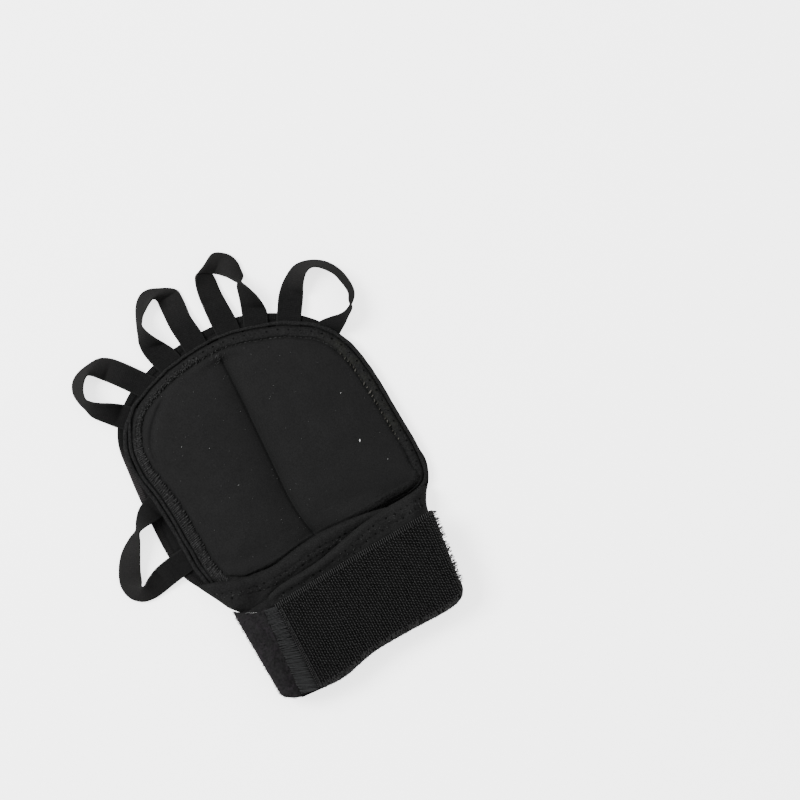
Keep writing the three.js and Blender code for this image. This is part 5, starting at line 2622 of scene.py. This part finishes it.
LITTLE_ROWS = rows_of(
    TapeRow,
    (47.9, 39.9, 53.5, 31.0), (53.8, 43.5, 59.5, 34.8), (58.9, 42.8, 63.1, 37.0),
    (63.1, 41.7, 66.3, 39.6), (66.6, 41.9, 68.9, 41.5), (71.1, 44.4, 69.6, 44.8),
    (73.2, 47.4, 71.0, 47.8), (73.5, 53.6, 70.5, 53.7), (72.0, 59.3, 69.4, 57.9),
    (68.3, 64.7, 65.8, 62.9), (63.1, 68.0, 62.6, 64.7), (57.1, 69.2, 59.4, 63.6),
    (50.4, 66.4, 56.2, 60.0), (45.6, 62.5, 53.6, 55.7), (40.8, 56.0, 49.1, 49.4),
    (35.9, 49.1, 44.2, 42.8),
)
THUMB_ROWS = rows_of(
    TapeRow,
    (-39.1, 16.5, -37.7, 6.3), (-45.7, 15.6, -43.5, 5.4), (-50.9, 13.1, -47.9, 5.1),
    (-54.4, 9.2, -52.0, 5.2), (-56.5, 5.9, -55.3, 4.5), (-60.6, 4.3, -57.2, 0.7),
    (-66.6, 0.7, -60.2, -4.7), (-71.4, -5.1, -63.0, -9.7), (-74.0, -11.7, -64.8, -13.9),
    (-72.9, -17.7, -65.7, -15.1), (-68.9, -21.6, -65.7, -16.0), (-63.9, -22.8, -64.5, -15.8),
    (-59.3, -22.6, -61.9, -14.0), (-55.1, -22.0, -57.3, -12.0), (-49.2, -21.2, -50.4, -10.8),
    (-37.9, -20.0, -38.9, -9.6),
)
THUMB_FLAP_FOLD = rows_of(
    LineRow,
    (-27.0, -46.2), (-36.5, -41.4), (-41.5, -39.0), (-44.2, -36.8), (-46.4, -35.4),
    (-66.0, -34.4),
)
THUMB_FLAP_HEM = rows_of(
    HemRow,
    (-46.2, -27.0, -65, 2.6, 0.4), (-38.0, -29.7, -65, 2.0, 0.9), (-31.8, -32.4, -65, 2.0, 1.4),
    (-21.6, -35.2, -65, 2.2, 1.6), (-12.0, -35.6, -65, 2.2, 1.6), (-3.0, -34.5, -65, 2.0, 1.6),
    (10.5, -33.9, -65, 2.0, 1.6), (26.0, -35.2, -65, 2.2, 1.3), (39.0, -38.0, -65, 2.4, 0.4),
    (43.0, -39.6, -65, 2.2, 0.0),
)
OUTER_FLAP_FOLD = rows_of(
    LineRow,
    (-38.4, 59.2), (-43.6, 55.8), (-48.0, 54.2), (-66.0, 52.8),
)
OUTER_FLAP_HEM = rows_of(
    HemRow,
    (-22.8, -46.9, -49.6, 0, 0.6), (-21.2, -45.7, -52.5, 0, 1.0), (-16.0, -44.4, -58, 0, 1.6),
    (-5.6, -44.0, -64, 0, 1.9), (4.3, -43.4, -65, 0, 1.9), (19.5, -40.5, -65, 0.3, 1.8),
    (29.3, -38.9, -65, 0.9, 1.7), (48.0, -38.4, -65, 2.3, 1.4), (59.2, -38.4, -65, 2.0, 0.8),
)
THUMB_FLAP_HOLLOWS = (HollowRow(-26.0, -42.6, 2.6, 5.0),)


def main() -> None:
    """Builds the glove piece by piece, reports each piece, then builds the studio."""
    logging.basicConfig(level=logging.INFO, format="%(message)s")
    tapes = [
        TapeLoop("finger_loop_index", INDEX_ROWS),
        TapeLoop("finger_loop_middle", MIDDLE_ROWS),
        TapeLoop("finger_loop_ring", RING_ROWS),
        TapeLoop("finger_loop_little", LITTLE_ROWS),
        TapeLoop("thumb_loop", THUMB_ROWS),
    ]
    thumb_flap = CuffFlap(
        name="cuff_flap_thumb",
        side=Side.THUMB,
        height=THUMB_FLAP_Z,
        radius=6.0,
        free_end=43.0,
        fold=THUMB_FLAP_FOLD,
        hem=THUMB_FLAP_HEM,
        seed=31,
        needle_rows=(4.8, 7.2),
        under=OUTER_FLAP_HEM,
        hollows=THUMB_FLAP_HOLLOWS,
    )
    outer_flap = CuffFlap(
        name="cuff_flap_outer",
        side=Side.OUTER,
        height=OUTER_FLAP_Z,
        radius=7.0,
        free_end=-22.8,
        fold=OUTER_FLAP_FOLD,
        hem=OUTER_FLAP_HEM,
        seed=32,
        needle_rows=(3.6, 6.8),
    )
    pad = WeightPad(pressed_by=THUMB_FLAP_HEM)
    made = BackPanel().build()
    cover = pad.build()
    made += cover
    for part in (*tapes, Piping(pad, tapes), thumb_flap, outer_flap):
        made += part.build()
    band = WristBand().build()
    made += band + HookTape().build()
    made += PadStitching(pad, cover[0]).build()
    made += Lint([cover[0], band[0]]).build()
    for piece in made:
        triangles = sum(len(face.vertices) - 2 for face in piece.data.polygons)
        log.info("%s: %d triangles", piece.name, triangles)
    Studio().build()
    boxes = {"cad": CAD_BOX, "visual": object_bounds()}
    {name: [list(corner) for corner in box] for name, box in boxes.items()}


if __name__ == "__main__":
    main()
